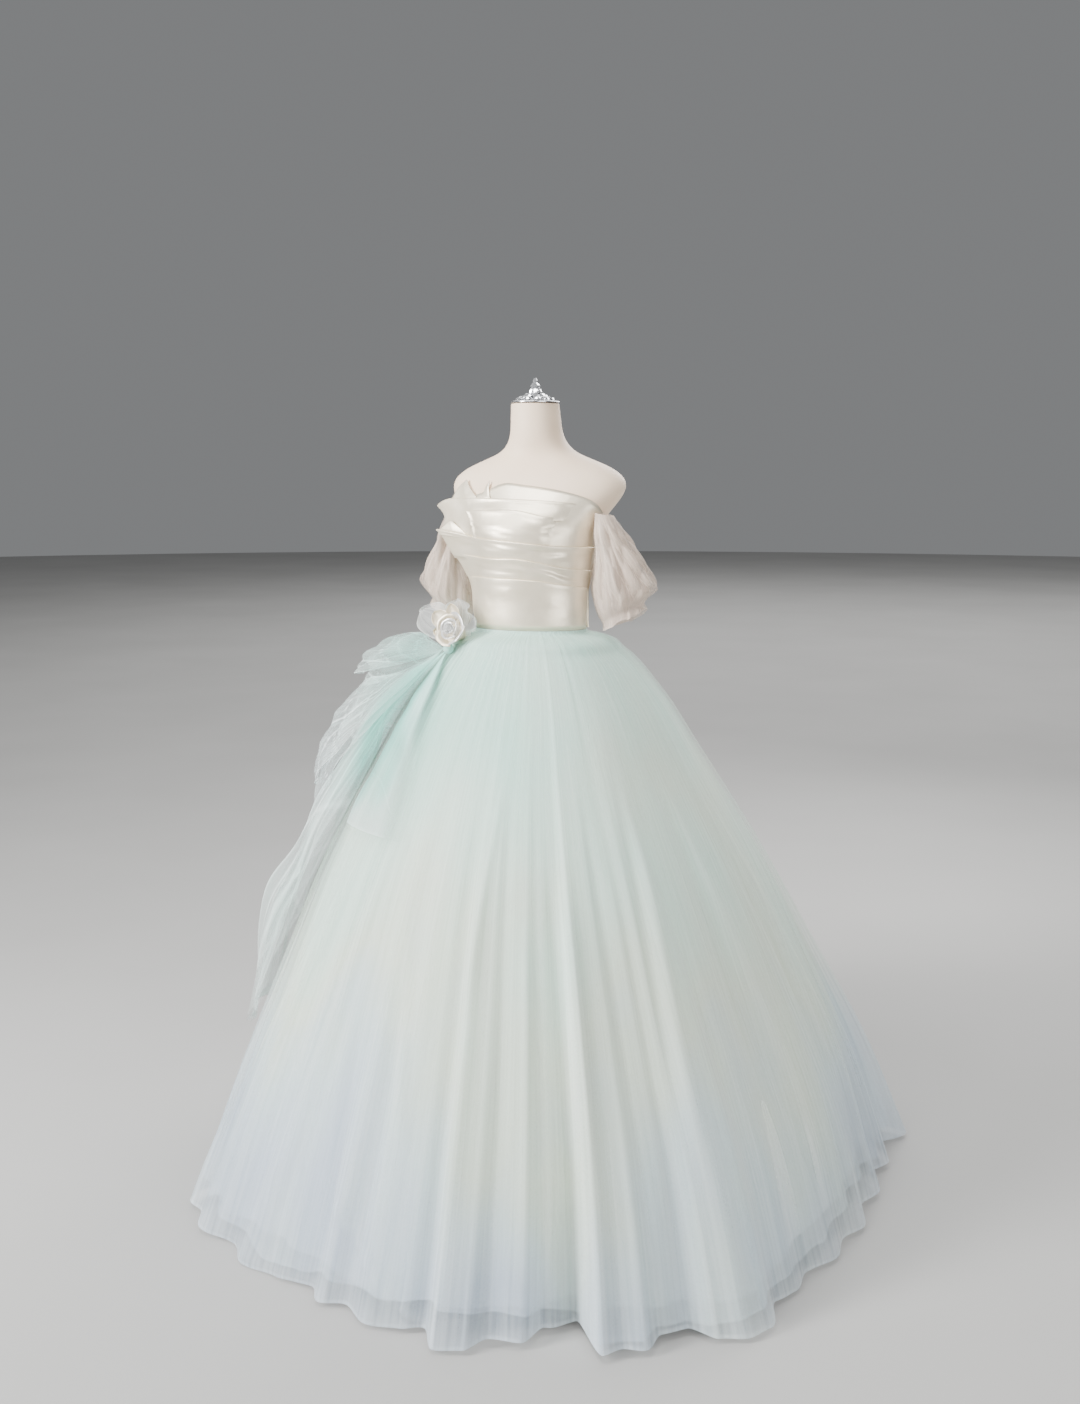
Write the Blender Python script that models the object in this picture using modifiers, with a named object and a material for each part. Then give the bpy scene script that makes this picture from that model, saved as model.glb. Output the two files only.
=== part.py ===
"""Strapless ball gown of satin and tulle on a limbless dress form.

Units are metres, +Z is up, the gown faces -Y and the wearer's left is +X. The origin is the middle of
the stand's underside. Angles go round the body from the front, towards the wearer's left.
"""

from functools import partial
from math import cos, pi, radians, sin

import bmesh
import bpy
import numpy as np
from mathutils import Matrix, Vector

# Heights above the floor
WAIST = 1.1403
SKIRT_TOP = 1.1395
HEM = 0.012
UNDER_HEM = 0.052
FORM_BOTTOM = 0.900
NECK_TOP = 1.585

# Cloth and gaps
GAP = 0.0003
SEAM = 0.0004
LOOSE_SEAM = 0.0009
SATIN = 0.0016
BAND_SATIN = 0.0014
TULLE = 0.0012
PETAL = 0.0011
BODICE_OUT = 0.0018
BAND_FOOT_OUT = 0.0038
BAND_EDGE_OUT = 0.0082
BAND_OVERLAP = 0.008
BAND_PUFF = 0.0012
BEHIND_BAND = 0.0026
COLUMN = 10

# Stand
BASE_RADIUS = 0.170
BASE_THICK = 0.012
POLE_RADIUS = 0.0125

# Heights that the form and the bodice share, so that the bodice follows it
LEVELS = (1.180, 1.215, 1.255, 1.300, 1.335)
FORM_LEVELS = (0.900, 0.950, 1.000, 1.050, 1.100, 1.140, *LEVELS, 1.352, 1.370, 1.388, 1.404, 1.420)
UPPER_LEVELS = (1.436, 1.450, 1.465, 1.475, 1.488, 1.503, 1.520, 1.550, 1.585)
FORM_COLUMNS = ("height", "half_width", "front", "back")
FORM_SECTIONS = (
    (0.900, 0.130, 0.100, 0.080),
    (0.950, 0.146, 0.115, 0.105),
    (1.000, 0.148, 0.120, 0.105),
    (1.050, 0.140, 0.122, 0.085),
    (1.100, 0.124, 0.132, 0.045),
    (1.140, 0.1125, 0.1385, 0.020),
    (1.180, 0.1110, 0.138, 0.017),
    (1.215, 0.1105, 0.139, 0.022),
    (1.255, 0.116, 0.142, 0.043),
    (1.300, 0.124, 0.150, 0.062),
    (1.340, 0.134, 0.150, 0.071),
    (1.370, 0.152, 0.134, 0.080),
    (1.400, 0.176, 0.112, 0.084),
    (1.425, 0.184, 0.097, 0.084),
    (1.445, 0.172, 0.086, 0.078),
    (1.465, 0.137, 0.076, 0.070),
    (1.485, 0.084, 0.071, 0.057),
    (1.503, 0.063, 0.072, 0.045),
    (1.520, 0.0545, 0.076, 0.036),
    (1.550, 0.051, 0.078, 0.026),
    (1.585, 0.0485, 0.080, 0.018),
)

# The bodice's upper edge round the body
TOP_COLUMNS = ("angle", "height")
TOP_EDGE = (
    (-180, 1.335),
    (-140, 1.340),
    (-100, 1.352),
    (-72, 1.376),
    (-45, 1.398),
    (-27, 1.411),
    (-14, 1.427),
    (0, 1.424),
    (20, 1.415),
    (45, 1.398),
    (75, 1.370),
    (100, 1.352),
    (140, 1.340),
    (180, 1.335),
)

# The upper edges of the five draped pleats across the bodice
PLEAT_COLUMNS = ("angle", "pleat_1", "pleat_2", "pleat_3", "pleat_4", "pleat_5")
PLEAT_LINES = (
    (-81, 1.378, 1.373, 1.337, 1.289, 1.240),
    (-66, 1.394, 1.373, 1.330, 1.286, 1.241),
    (-45, 1.398, 1.373, 1.321, 1.282, 1.242),
    (-20, 1.398, 1.376, 1.318, 1.281, 1.242),
    (0, 1.396, 1.375, 1.314, 1.281, 1.241),
    (20, 1.393, 1.364, 1.309, 1.274, 1.238),
    (40, 1.388, 1.362, 1.306, 1.265, 1.232),
    (70, 1.376, 1.356, 1.303, 1.259, 1.225),
    (99, 1.360, 1.345, 1.301, 1.253, 1.218),
)
# Each pleat's span round the body and how far its end on the wearer's right stands out
PLEAT_SPANS = (
    ("pleat_1", -76, 45, 0.036),
    ("pleat_2", -46, 36, 0.0),
    ("pleat_3", -75, 96, 0.058),
    ("pleat_4", -77, 96, 0.036),
    ("pleat_5", -81, 96, 0.010),
)
# Folded points that stand up from behind a pleat: angles of both sides and the tip, foot and tip
# heights, the pleat in front
POINTS = (
    ("bodice_point_1", -64, -30, -45, 1.388, 1.434, "pleat_1"),
    ("bodice_point_2", -29.5, -22, -24, 1.391, 1.432, "pleat_1"),
    ("bodice_point_3", -73, -56, -66, 1.322, 1.352, "pleat_3"),
)

SKIRT_COLUMNS = ("height", "half_width", "front", "back", "to_left")
SKIRT_SECTIONS = (
    (SKIRT_TOP, 0.1158, 0.1418, 0.0233, 0.0),
    (1.1330, 0.1190, 0.1450, 0.0275, 0.0),
    (1.1270, 0.1420, 0.1680, 0.0640, 0.0),
    (1.0930, 0.1880, 0.2050, 0.1450, 0.0),
    (1.0210, 0.2480, 0.2550, 0.2250, 0.0),
    (0.8850, 0.3330, 0.3350, 0.3300, 0.0),
    (0.6800, 0.4520, 0.4550, 0.4600, 0.006),
    (0.4840, 0.5480, 0.5520, 0.5650, 0.014),
    (0.2360, 0.6660, 0.6700, 0.6950, 0.022),
    (HEM, 0.7550, 0.7500, 0.7850, 0.020),
)
SECTIONS_UNDER = (0, 1, 2, 3, 5, 6, 8)

# The skirt's folds at the hem: each crest's angle, and how far it and the trough after it lie out
# from the section
FOLD_COLUMNS = ("crest", "crest_out", "trough_out")
FOLDS = (
    (-60, -0.012, -0.040),
    (-51, 0.016, -0.018),
    (-42, 0.014, -0.020),
    (-30, -0.010, -0.028),
    (-17, -0.012, -0.030),
    (-6, 0.010, -0.012),
    (5, 0.040, 0.000),
    (14, 0.012, -0.048),
    (25, 0.058, 0.008),
    (40, 0.063, -0.012),
    (53, -0.005, -0.040),
    (66, -0.030, -0.058),
    (76, -0.045, -0.080),
    (88, -0.055, -0.075),
    (99, -0.030, -0.055),
    (110, 0.030, -0.040),
    (121, 0.000, -0.040),
    (133, 0.030, -0.020),
    (144, 0.010, -0.045),
    (156, 0.040, -0.010),
    (167, 0.015, -0.040),
    (179, 0.035, -0.020),
    (190, 0.020, -0.040),
    (201, 0.040, -0.015),
    (213, 0.000, -0.045),
    (224, 0.030, -0.020),
    (236, 0.010, -0.050),
    (247, 0.020, -0.030),
    (258, -0.020, -0.060),
    (269, -0.035, -0.075),
    (280, -0.050, -0.085),
    (291, -0.048, -0.080),
)
FOLD_GROWTH = 2.4
OUTER_PANELS = 8
UNDER_PANELS = 8
UNDER_INSET_TOP = 0.0016
UNDER_INSET_HEM = 0.028

# A puff sleeve from its upper edge to its frill: the middle's height, how far it lies out to the side
# and forward, its half sizes, and how much its outer side is raised
SLEEVE_COLUMNS = ("height", "out", "forward", "half_across", "half_deep", "raised")
SLEEVE_SECTIONS = (
    (1.368, 0.160, 0.086, 0.019, 0.020, -10),
    (1.338, 0.166, 0.074, 0.029, 0.030, -5),
    (1.300, 0.175, 0.058, 0.040, 0.041, 0),
    (1.262, 0.182, 0.048, 0.053, 0.050, 0),
    (1.228, 0.186, 0.042, 0.061, 0.055, 4),
    (1.202, 0.189, 0.039, 0.059, 0.053, 15),
    (1.184, 0.190, 0.037, 0.049, 0.046, 28),
    (1.170, 0.190, 0.036, 0.040, 0.038, 38),
    (1.154, 0.191, 0.036, 0.046, 0.043, 38),
)
SLEEVE_COLUMNS_ROUND = 20
SLEEVE_GATHERS = 5
SLEEVE_GATHER_DEPTH = 0.0022
RIGHT_SLEEVE_OUT = 0.012
RIGHT_SLEEVE_BACK = 0.050

# The flower on the wearer's right hip, turned a little more to the front than the place it sits on
FLOWER_ANGLE = -41
FLOWER_FACES = -20
FLOWER_REACH = 0.200
FLOWER_HEIGHT = 1.136
FLOWER_TIP_UP = 22
FLOWER_DISC = 0.024
FLOWER_STEM = 0.0125
STEM_END = 0.0254
# Rings of satin petals: how many, the first one's turn, radius at the foot and at the lip, length
ROSE_RINGS = (
    (2, 20, 0.0085, 0.0105, 0.024),
    (3, 75, 0.0155, 0.0190, 0.022),
    (4, 10, 0.0230, 0.0330, 0.019),
)
# Loose petals behind the rose: name, direction, length, half width, set back, and how steeply they
# come forward outside the backing
LOOSE_PETALS = (
    ("cream_petal_1", 150, 0.048, 0.018, 0.0038, 0.34),
    ("cream_petal_2", 108, 0.042, 0.016, 0.0061, 0.34),
    ("cream_petal_3", 186, 0.036, 0.012, 0.0087, 0.34),
    ("organza_petal_1", 160, 0.086, 0.036, 0.0116, 0.20),
    ("organza_petal_2", 98, 0.054, 0.030, 0.0144, 0.20),
    ("organza_petal_3", 34, 0.040, 0.022, 0.0172, 0.20),
)

# Swags that stand out over the hip, from the flower towards the back: each row is an angle, the
# heights of the upper and the lower edge, and how far each edge and the middle stand out
SWAG_COLUMNS = ("angle", "upper", "lower", "upper_out", "middle_out", "lower_out")
UPPER_SWAG = (
    (-50, 1.096, 1.085, 0.010, 0.012, 0.012),
    (-56, 1.099, 1.084, 0.014, 0.026, 0.024),
    (-62, 1.110, 1.070, 0.036, 0.056, 0.052),
    (-67, 1.122, 1.054, 0.074, 0.104, 0.092),
    (-73, 1.127, 1.040, 0.104, 0.146, 0.132),
    (-84, 1.112, 1.030, 0.090, 0.140, 0.132),
    (-96, 1.096, 1.034, 0.070, 0.110, 0.118),
    (-108, 1.084, 1.046, 0.040, 0.060, 0.084),
    (-116, 1.078, 1.058, 0.020, 0.026, 0.050),
)
LOWER_SWAG = (
    (-49, 1.086, 1.079, 0.013, 0.014, 0.013),
    (-54, 1.074, 1.030, 0.032, 0.036, 0.034),
    (-62, 1.048, 0.920, 0.058, 0.072, 0.078),
    (-73, 1.030, 0.812, 0.104, 0.124, 0.104),
    (-84, 1.016, 0.786, 0.112, 0.134, 0.104),
    (-97, 1.006, 0.800, 0.100, 0.116, 0.092),
    (-110, 1.004, 0.840, 0.062, 0.072, 0.058),
    (-120, 1.012, 0.890, 0.018, 0.024, 0.018),
)
# Lengths that hang over the skirt from the flower: each row is a height, the angles of both edges,
# and how far the edges and the middle lie out
FALL_COLUMNS = ("height", "first", "last", "first_out", "middle_out", "last_out")
TAIL = (
    (1.076, -50, -47, 0.0130, 0.0145, 0.0130),
    (1.040, -64, -50, 0.026, 0.026, 0.014),
    (0.970, -82, -52, 0.042, 0.044, 0.016),
    (0.890, -94, -53, 0.048, 0.056, 0.016),
    (0.800, -102, -54, 0.052, 0.064, 0.018),
    (0.720, -106, -55, 0.056, 0.078, 0.018),
    (0.630, -108, -56, 0.056, 0.080, 0.020),
    (0.530, -107, -58, 0.060, 0.102, 0.022),
    (0.440, -103, -61, 0.056, 0.088, 0.026),
    (0.360, -97, -65, 0.048, 0.066, 0.030),
    (0.290, -90, -70, 0.040, 0.050, 0.034),
)
FRONT_FALL = (
    (1.070, -46, -43, 0.0090, 0.0095, 0.0090),
    (1.030, -49, -36, 0.010, 0.012, 0.009),
    (0.960, -50, -31, 0.010, 0.013, 0.009),
    (0.890, -50, -27, 0.011, 0.014, 0.010),
    (0.820, -50, -24, 0.012, 0.015, 0.011),
    (0.755, -49, -22, 0.013, 0.016, 0.012),
)
# The knot that holds them, and where each one leaves it: the direction seen from outside, and how
# far in front of the knot's middle
KNOT_RADIUS = 0.011
KNOT_ANGLE = -46.5
KNOT_HEIGHT = 1.093
KNOT_HALF_ROW = 0.0028
LEAVES_KNOT = {
    "cascade_upper_swag": (150, 0.003),
    "cascade_lower_swag": (188, 0.004),
    "cascade_tail": (224, -0.004),
    "cascade_front_fall": (266, -0.004),
}

COLOURS = {
    "form": ((0.80, 0.74, 0.66), 0.45, 0.0),
    "satin": ((0.82, 0.80, 0.74), 0.35, 0.0),
    "tulle": ((0.70, 0.80, 0.76), 0.80, 0.0),
    "lining": ((0.78, 0.78, 0.76), 0.60, 0.0),
    "sleeve": ((0.72, 0.66, 0.62), 0.80, 0.0),
    "mint": ((0.48, 0.72, 0.66), 0.80, 0.0),
    "chrome": ((0.80, 0.80, 0.80), 0.15, 1.0),
    "white": ((0.80, 0.80, 0.78), 0.40, 0.0),
}


def clear_scene():
    """Remove whatever the scene holds."""
    for obj in list(bpy.data.objects):
        bpy.data.objects.remove(obj)


def hermite(places, values, slopes, at):
    """The value at a place on a smooth curve through the rows of a table."""
    i = int(np.clip(np.searchsorted(places, at) - 1, 0, len(places) - 2))
    gap = places[i + 1] - places[i]
    x = min(max((at - places[i]) / gap, 0.0), 1.0)
    start = (1 + 2 * x) * (1 - x) ** 2 * values[i] + x * (1 - x) ** 2 * gap * slopes[i]
    end = x * x * (3 - 2 * x) * values[i + 1] + x * x * (x - 1) * gap * slopes[i + 1]
    return start + end


def columns_of(names, rows):
    """A smooth function of the first column for each of the table's other columns."""
    table = np.array(sorted(rows), float)
    found = {}
    for name, values in zip(names[1:], table[:, 1:].T):
        slopes = np.gradient(values, table[:, 0])
        found[name] = partial(hermite, table[:, 0], values, slopes)
    return found


def straight_columns(names, rows):
    """Like columns_of, with straight runs between the rows."""
    table = np.array(sorted(rows), float)
    return {
        name: partial(np.interp, xp=table[:, 0], fp=values)
        for name, values in zip(names[1:], table[:, 1:].T)
    }


def material(name):
    """The named material, made the first time it is asked for."""
    found = bpy.data.materials.get(name)
    if found:
        return found
    colour, roughness, metallic = COLOURS[name]
    found = bpy.data.materials.new(name)
    found.use_nodes = True
    shader = found.node_tree.nodes["Principled BSDF"]
    shader.inputs["Base Color"].default_value = (*colour, 1.0)
    shader.inputs["Roughness"].default_value = roughness
    shader.inputs["Metallic"].default_value = metallic
    return found


def add_object(name, mesh, finish):
    """Put a mesh in the gown's collection under the name of its piece."""
    mesh.materials.append(material(finish))
    mesh.shade_smooth()
    mesh.set_sharp_from_angle(angle=radians(40))
    obj = bpy.data.objects.new(name, mesh)
    parts.objects.link(obj)
    return obj


def cloth(name, surface, across, along, thick, finish, ring=False, seam=SEAM):
    """A piece of cloth: an open grid of points on a surface, thickened to both sides.

    Both skins get the same diagonals, so that a twisted square can't cut through the wall. Each side
    edge is drawn in by half the seam's gap.
    """
    grid = [[Vector(surface(u, v)) for v in along] for u in across]
    if seam and not ring:
        for edge, beside in ((grid[0], grid[1]), (grid[-1], grid[-2])):
            for point, other in zip(edge, beside):
                point += (other - point).normalized() * seam / 2
    rows = len(along)
    mesh = bpy.data.meshes.new(name)
    faces = []
    for i in range(len(across) if ring else len(across) - 1):
        for j in range(rows - 1):
            here = i * rows + j
            beside = (i + 1) % len(across) * rows + j
            faces.append((here, here + 1, beside + 1))
            faces.append((here, beside + 1, beside))
    mesh.from_pydata([point for line in grid for point in line], [], faces)
    obj = add_object(name, mesh, finish)
    wall = obj.modifiers.new("wall", "SOLIDIFY")
    wall.thickness = thick
    wall.offset = 0.0
    return obj


def turned(name, profile, steps, finish, place, tilt=0.0):
    """A turned piece: a profile of radii and heights, from the top down, spun round its axis."""
    mesh = bpy.data.meshes.new(name)
    points = [(radius, 0.0, height) for radius, height in profile]
    mesh.from_pydata(points, [(i, i + 1) for i in range(len(points) - 1)], [])
    obj = add_object(name, mesh, finish)
    obj.location = place
    obj.rotation_euler.x = tilt
    spin = obj.modifiers.new("spin", "SCREW")
    spin.steps = steps
    spin.render_steps = steps
    spin.use_merge_vertices = True
    spin.merge_threshold = 0.00005
    return obj


def steps_between(first, last, count):
    """Evenly spaced values, both ends included."""
    return [first + (last - first) * i / count for i in range(count + 1)]


form = columns_of(FORM_COLUMNS, FORM_SECTIONS)
top_edge = straight_columns(TOP_COLUMNS, TOP_EDGE)["height"]
pleat_line = columns_of(PLEAT_COLUMNS, PLEAT_LINES)
skirt = columns_of(SKIRT_COLUMNS, SKIRT_SECTIONS)


def on_form(angle, height, out=0.0):
    """A point of the form's skin, moved out by a distance."""
    turn = radians(angle)
    front = form["front"](height) + out
    back = form["back"](height) + out
    across = form["half_width"](height) + out
    return (across * sin(turn), (back - front) / 2 - (front + back) / 2 * cos(turn), height)


def make_form():
    """The torso and neck, a closed loft of level sections."""
    rings = 360 // COLUMN
    heights = (*FORM_LEVELS, *UPPER_LEVELS)
    shape = bmesh.new()
    levels = []
    for height in heights:
        levels.append([shape.verts.new(on_form(360 * i / rings, height)) for i in range(rings)])
    for lower, upper in zip(levels, levels[1:]):
        for i in range(rings):
            after = (i + 1) % rings
            shape.faces.new((lower[i], lower[after], upper[after], upper[i]))
    shape.faces.new(reversed(levels[0]))
    shape.faces.new(levels[-1])
    mesh = bpy.data.meshes.new("form_torso")
    shape.to_mesh(mesh)
    shape.free()
    add_object("form_torso", mesh, "form")


def make_neck_trim():
    """The metal cap on the neck and the turned knob on it."""
    middle = (0.0, (form["back"](NECK_TOP) - form["front"](NECK_TOP)) / 2, NECK_TOP + GAP)
    cap = ((0.0, 0.0075), (0.020, 0.0072), (0.038, 0.0060), (0.048, 0.0040), (0.0500, 0.0020))
    turned("neck_cap", (*cap, (0.0490, 0.0), (0.0, 0.0)), 24, "chrome", middle)
    knob = (
        (0.0, 0.0440),
        (0.0035, 0.0425),
        (0.0050, 0.0385),
        (0.0036, 0.0350),
        (0.0095, 0.0310),
        (0.0125, 0.0250),
        (0.0100, 0.0190),
        (0.0070, 0.0160),
        (0.0150, 0.0120),
        (0.0110, 0.0085),
        (0.0210, 0.0040),
        (0.0200, 0.0),
        (0.0, 0.0),
    )
    place = (middle[0], middle[1], middle[2] + 0.0075 + GAP)
    turned("neck_knob", knob, 16, "chrome", place)


def make_stand():
    """The round plate on the floor and the pole that carries the form."""
    plate = (
        (0.0, BASE_THICK),
        (BASE_RADIUS - 0.006, BASE_THICK),
        (BASE_RADIUS, BASE_THICK - 0.004),
        (BASE_RADIUS, 0.0),
        (0.0, 0.0),
    )
    turned("stand_plate", plate, 32, "white", (0.0, 0.0, 0.0))
    bottom = BASE_THICK + GAP
    top = FORM_BOTTOM - GAP
    bpy.ops.mesh.primitive_cylinder_add(
        vertices=20, radius=POLE_RADIUS, depth=top - bottom, location=(0, 0, (top + bottom) / 2)
    )
    pole = bpy.context.object
    pole.name = "stand_pole"
    pole.data.materials.append(material("chrome"))
    for collection in pole.users_collection:
        collection.objects.unlink(pole)
    parts.objects.link(pole)


def make_bodice():
    """Front and back panels, closed at the sides and at the centre back."""

    def panel(angle, row):
        top = top_edge(angle if angle <= 180 else angle - 360)
        height = row if row <= LEVELS[-1] else LEVELS[-1] + (top - LEVELS[-1]) * (row - 2)
        return on_form(angle, height, BODICE_OUT)

    rows = (3.0, 2.75, 2.5, 2.25, *reversed(LEVELS), WAIST)
    for name, first, last in (
        ("bodice_front", -100, 100),
        ("bodice_back_left", 100, 180),
        ("bodice_back_right", 180, 260),
    ):
        columns = steps_between(first, last, (last - first) // COLUMN)
        cloth(name, panel, columns, rows, SATIN, "satin")


def pleat_edges(name, angle):
    """The heights of a pleat's upper edge and foot at an angle."""
    upper = pleat_line[name](angle)
    names = [span[0] for span in PLEAT_SPANS]
    if name == names[-1]:
        return upper, WAIST + 0.003
    return upper, pleat_line[names[names.index(name) + 1]](angle) - BAND_OVERLAP


def pleat_out(name, angle, share):
    """How far a pleat lies out from the form, at a share of the way from its edge to its foot."""
    first, flare = next((span[1], span[3]) for span in PLEAT_SPANS if span[0] == name)
    free_end = flare * max(0.0, (-45 - angle) / (-45 - first)) ** 2 * (1 - 0.92 * share)
    slope = BAND_EDGE_OUT + (BAND_FOOT_OUT - BAND_EDGE_OUT) * share
    return slope + BAND_PUFF * sin(pi * share) + free_end


def columns_on_grid(first, last):
    """The angles from first to last that the bodice's own columns have, and both ends."""
    start = -int(-first // COLUMN) * COLUMN
    return [first, *(a for a in range(start, int(last), COLUMN) if first < a < last), last]


def make_pleats():
    """Bands of satin, each with its folded upper edge over the foot of the one above."""
    for name, first, last, _ in PLEAT_SPANS:

        def band(angle, share, name=name):
            upper, lower = pleat_edges(name, angle)
            return on_form(angle, upper + (lower - upper) * share, pleat_out(name, angle, share))

        rows = (0.0, 0.25, 0.6, 1.0) if name == PLEAT_SPANS[-1][0] else (0.0, 0.5, 1.0)
        cloth(f"bodice_{name}", band, columns_on_grid(first, last), rows, BAND_SATIN, "satin", seam=0.0)


def make_points():
    """The folded points that stand up behind the first and the third pleat."""
    for name, first, last, tip, foot, top, before in POINTS:

        def point(angle, share, sides=(first, last), tip=tip, foot=foot, top=top, before=before):
            side = sides[0] if angle < tip else sides[1]
            peak = 0.12 + 0.88 * (angle - side) / (tip - side)
            height = foot + (top - foot) * peak * share
            upper, lower = pleat_edges(before, angle)
            below = max(0.0, (upper - height) / (upper - lower))
            return on_form(angle, height, pleat_out(before, angle, below) - BEHIND_BAND)

        columns = sorted({*columns_on_grid(first, last), tip})
        cloth(name, point, columns, (1.0, 0.5, 0.0), 0.0010, "satin", seam=0.0)


def fold_place(phase):
    """The angle of a place along the folds, where a whole number is a crest."""
    number = int(phase // 1) % len(FOLDS)
    turns = int(phase // 1) // len(FOLDS)
    start = FOLDS[number][0]
    after = FOLDS[number + 1][0] if number + 1 < len(FOLDS) else FOLDS[0][0] + 360
    return start + (after - start) * (phase % 1) + 360 * turns


def fold_phase(angle):
    """The place along the folds of an angle."""
    angle = (angle - FOLDS[0][0]) % 360 + FOLDS[0][0]
    crests = [fold[0] for fold in FOLDS] + [FOLDS[0][0] + 360]
    return float(np.interp(angle, crests, range(len(crests))))


def fold_out(phase, depth):
    """How far the skirt lies out from its section at the hem, with its folds at a share of depth."""
    number = int(phase // 1) % len(FOLDS)
    crest, trough = FOLDS[number][1:]
    if phase % 1 > 0.5:
        crest = FOLDS[(number + 1) % len(FOLDS)][1]
    middle = (crest + trough) / 2
    return middle + depth * (crest - trough) / 2 * cos(2 * pi * phase)


def on_skirt(angle, height, out=0.0, depth=1.0, rise=1.0):
    """A point of the skirt's outer layer, moved out by a distance: level with a rise of 0."""
    turn = radians(angle)
    across, front, back, to_left = (skirt[name](height) for name in SKIRT_COLUMNS[1:])
    step = 0.002
    level = min(1.0, (height - HEM) / 0.5)
    spread = (skirt["half_width"](height - step) - skirt["half_width"](height + step)) / (2 * step)
    grown = max(0.0, (across - SKIRT_SECTIONS[0][1]) / 0.64) ** FOLD_GROWTH
    out += grown * fold_out(fold_phase(angle), depth)
    normal = Vector((sin(turn), -cos(turn), spread * level * rise)).normalized()
    middle = Vector((to_left, (back - front) / 2, height))
    ring = Vector((across * sin(turn), -(front + back) / 2 * cos(turn), 0.0))
    return middle + ring + normal * out


def under_inset(height):
    """How far the underskirt lies inside the outer layer."""
    grown = max(0.0, (skirt["half_width"](height) - SKIRT_SECTIONS[0][1]) / 0.64) ** 0.85
    return UNDER_INSET_TOP + (UNDER_INSET_HEM - UNDER_INSET_TOP) * grown


def make_skirt():
    """Outer panels of tulle, four folds each, and an underskirt that is a hand shorter."""
    heights = [row[0] for row in SKIRT_SECTIONS]
    folds_each = len(FOLDS) // OUTER_PANELS

    def outer(phase, height):
        return on_skirt(fold_place(phase), height)

    for number in range(OUTER_PANELS):
        first = number * folds_each + 0.25
        columns = steps_between(first, first + folds_each, folds_each * 4)
        cloth(f"skirt_tulle_{number + 1}", outer, columns, heights, TULLE, "tulle")

    def under(phase, height):
        return on_skirt(fold_place(phase), height, -under_inset(height), 0.5)

    under_heights = [heights[i] for i in SECTIONS_UNDER] + [UNDER_HEM]
    folds_each = len(FOLDS) // UNDER_PANELS
    for number in range(UNDER_PANELS):
        first = number * folds_each + 2.5
        columns = steps_between(first, first + folds_each, folds_each * 2)
        name = f"underskirt_{number + 1}"
        cloth(name, under, columns, under_heights, TULLE, "lining", seam=LOOSE_SEAM)


def make_sleeves():
    """Two puff sleeves, open at both ends, gathered at the upper edge and above the frill."""
    heights = [row[0] for row in SLEEVE_SECTIONS]
    shape = columns_of(SLEEVE_COLUMNS, SLEEVE_SECTIONS)
    for name, side, more_out, more_back in (
        ("sleeve_left", 1, 0.0, 0.0),
        ("sleeve_right", -1, RIGHT_SLEEVE_OUT, RIGHT_SLEEVE_BACK),
    ):

        def puff(turn, height, side=side, more_out=more_out, more_back=more_back):
            across, deep, raised = (shape[key](height) for key in SLEEVE_COLUMNS[3:])
            gather = SLEEVE_GATHER_DEPTH * cos(radians(SLEEVE_GATHERS * turn))
            outward = (across + gather) * cos(radians(turn))
            level = outward * cos(radians(raised))
            back = (deep + gather) * sin(radians(turn)) - shape["forward"](height) + more_back
            up = outward * sin(radians(raised))
            return (side * (shape["out"](height) + more_out + level), back, height + up)

        columns = [360 * i / SLEEVE_COLUMNS_ROUND for i in range(SLEEVE_COLUMNS_ROUND)]
        cloth(name, puff, columns, heights, TULLE, "sleeve", ring=True)


def flower_frame():
    """The flower's middle and its three directions: out, to the viewer's right and up."""
    faces = radians(FLOWER_FACES)
    tip = radians(FLOWER_TIP_UP)
    out = Vector((sin(faces) * cos(tip), -cos(faces) * cos(tip), sin(tip)))
    right = Vector((cos(faces), sin(faces), 0.0))
    turn = radians(FLOWER_ANGLE)
    middle = Vector((FLOWER_REACH * sin(turn), -FLOWER_REACH * cos(turn), FLOWER_HEIGHT))
    return middle, out, right, out.cross(right)


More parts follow.
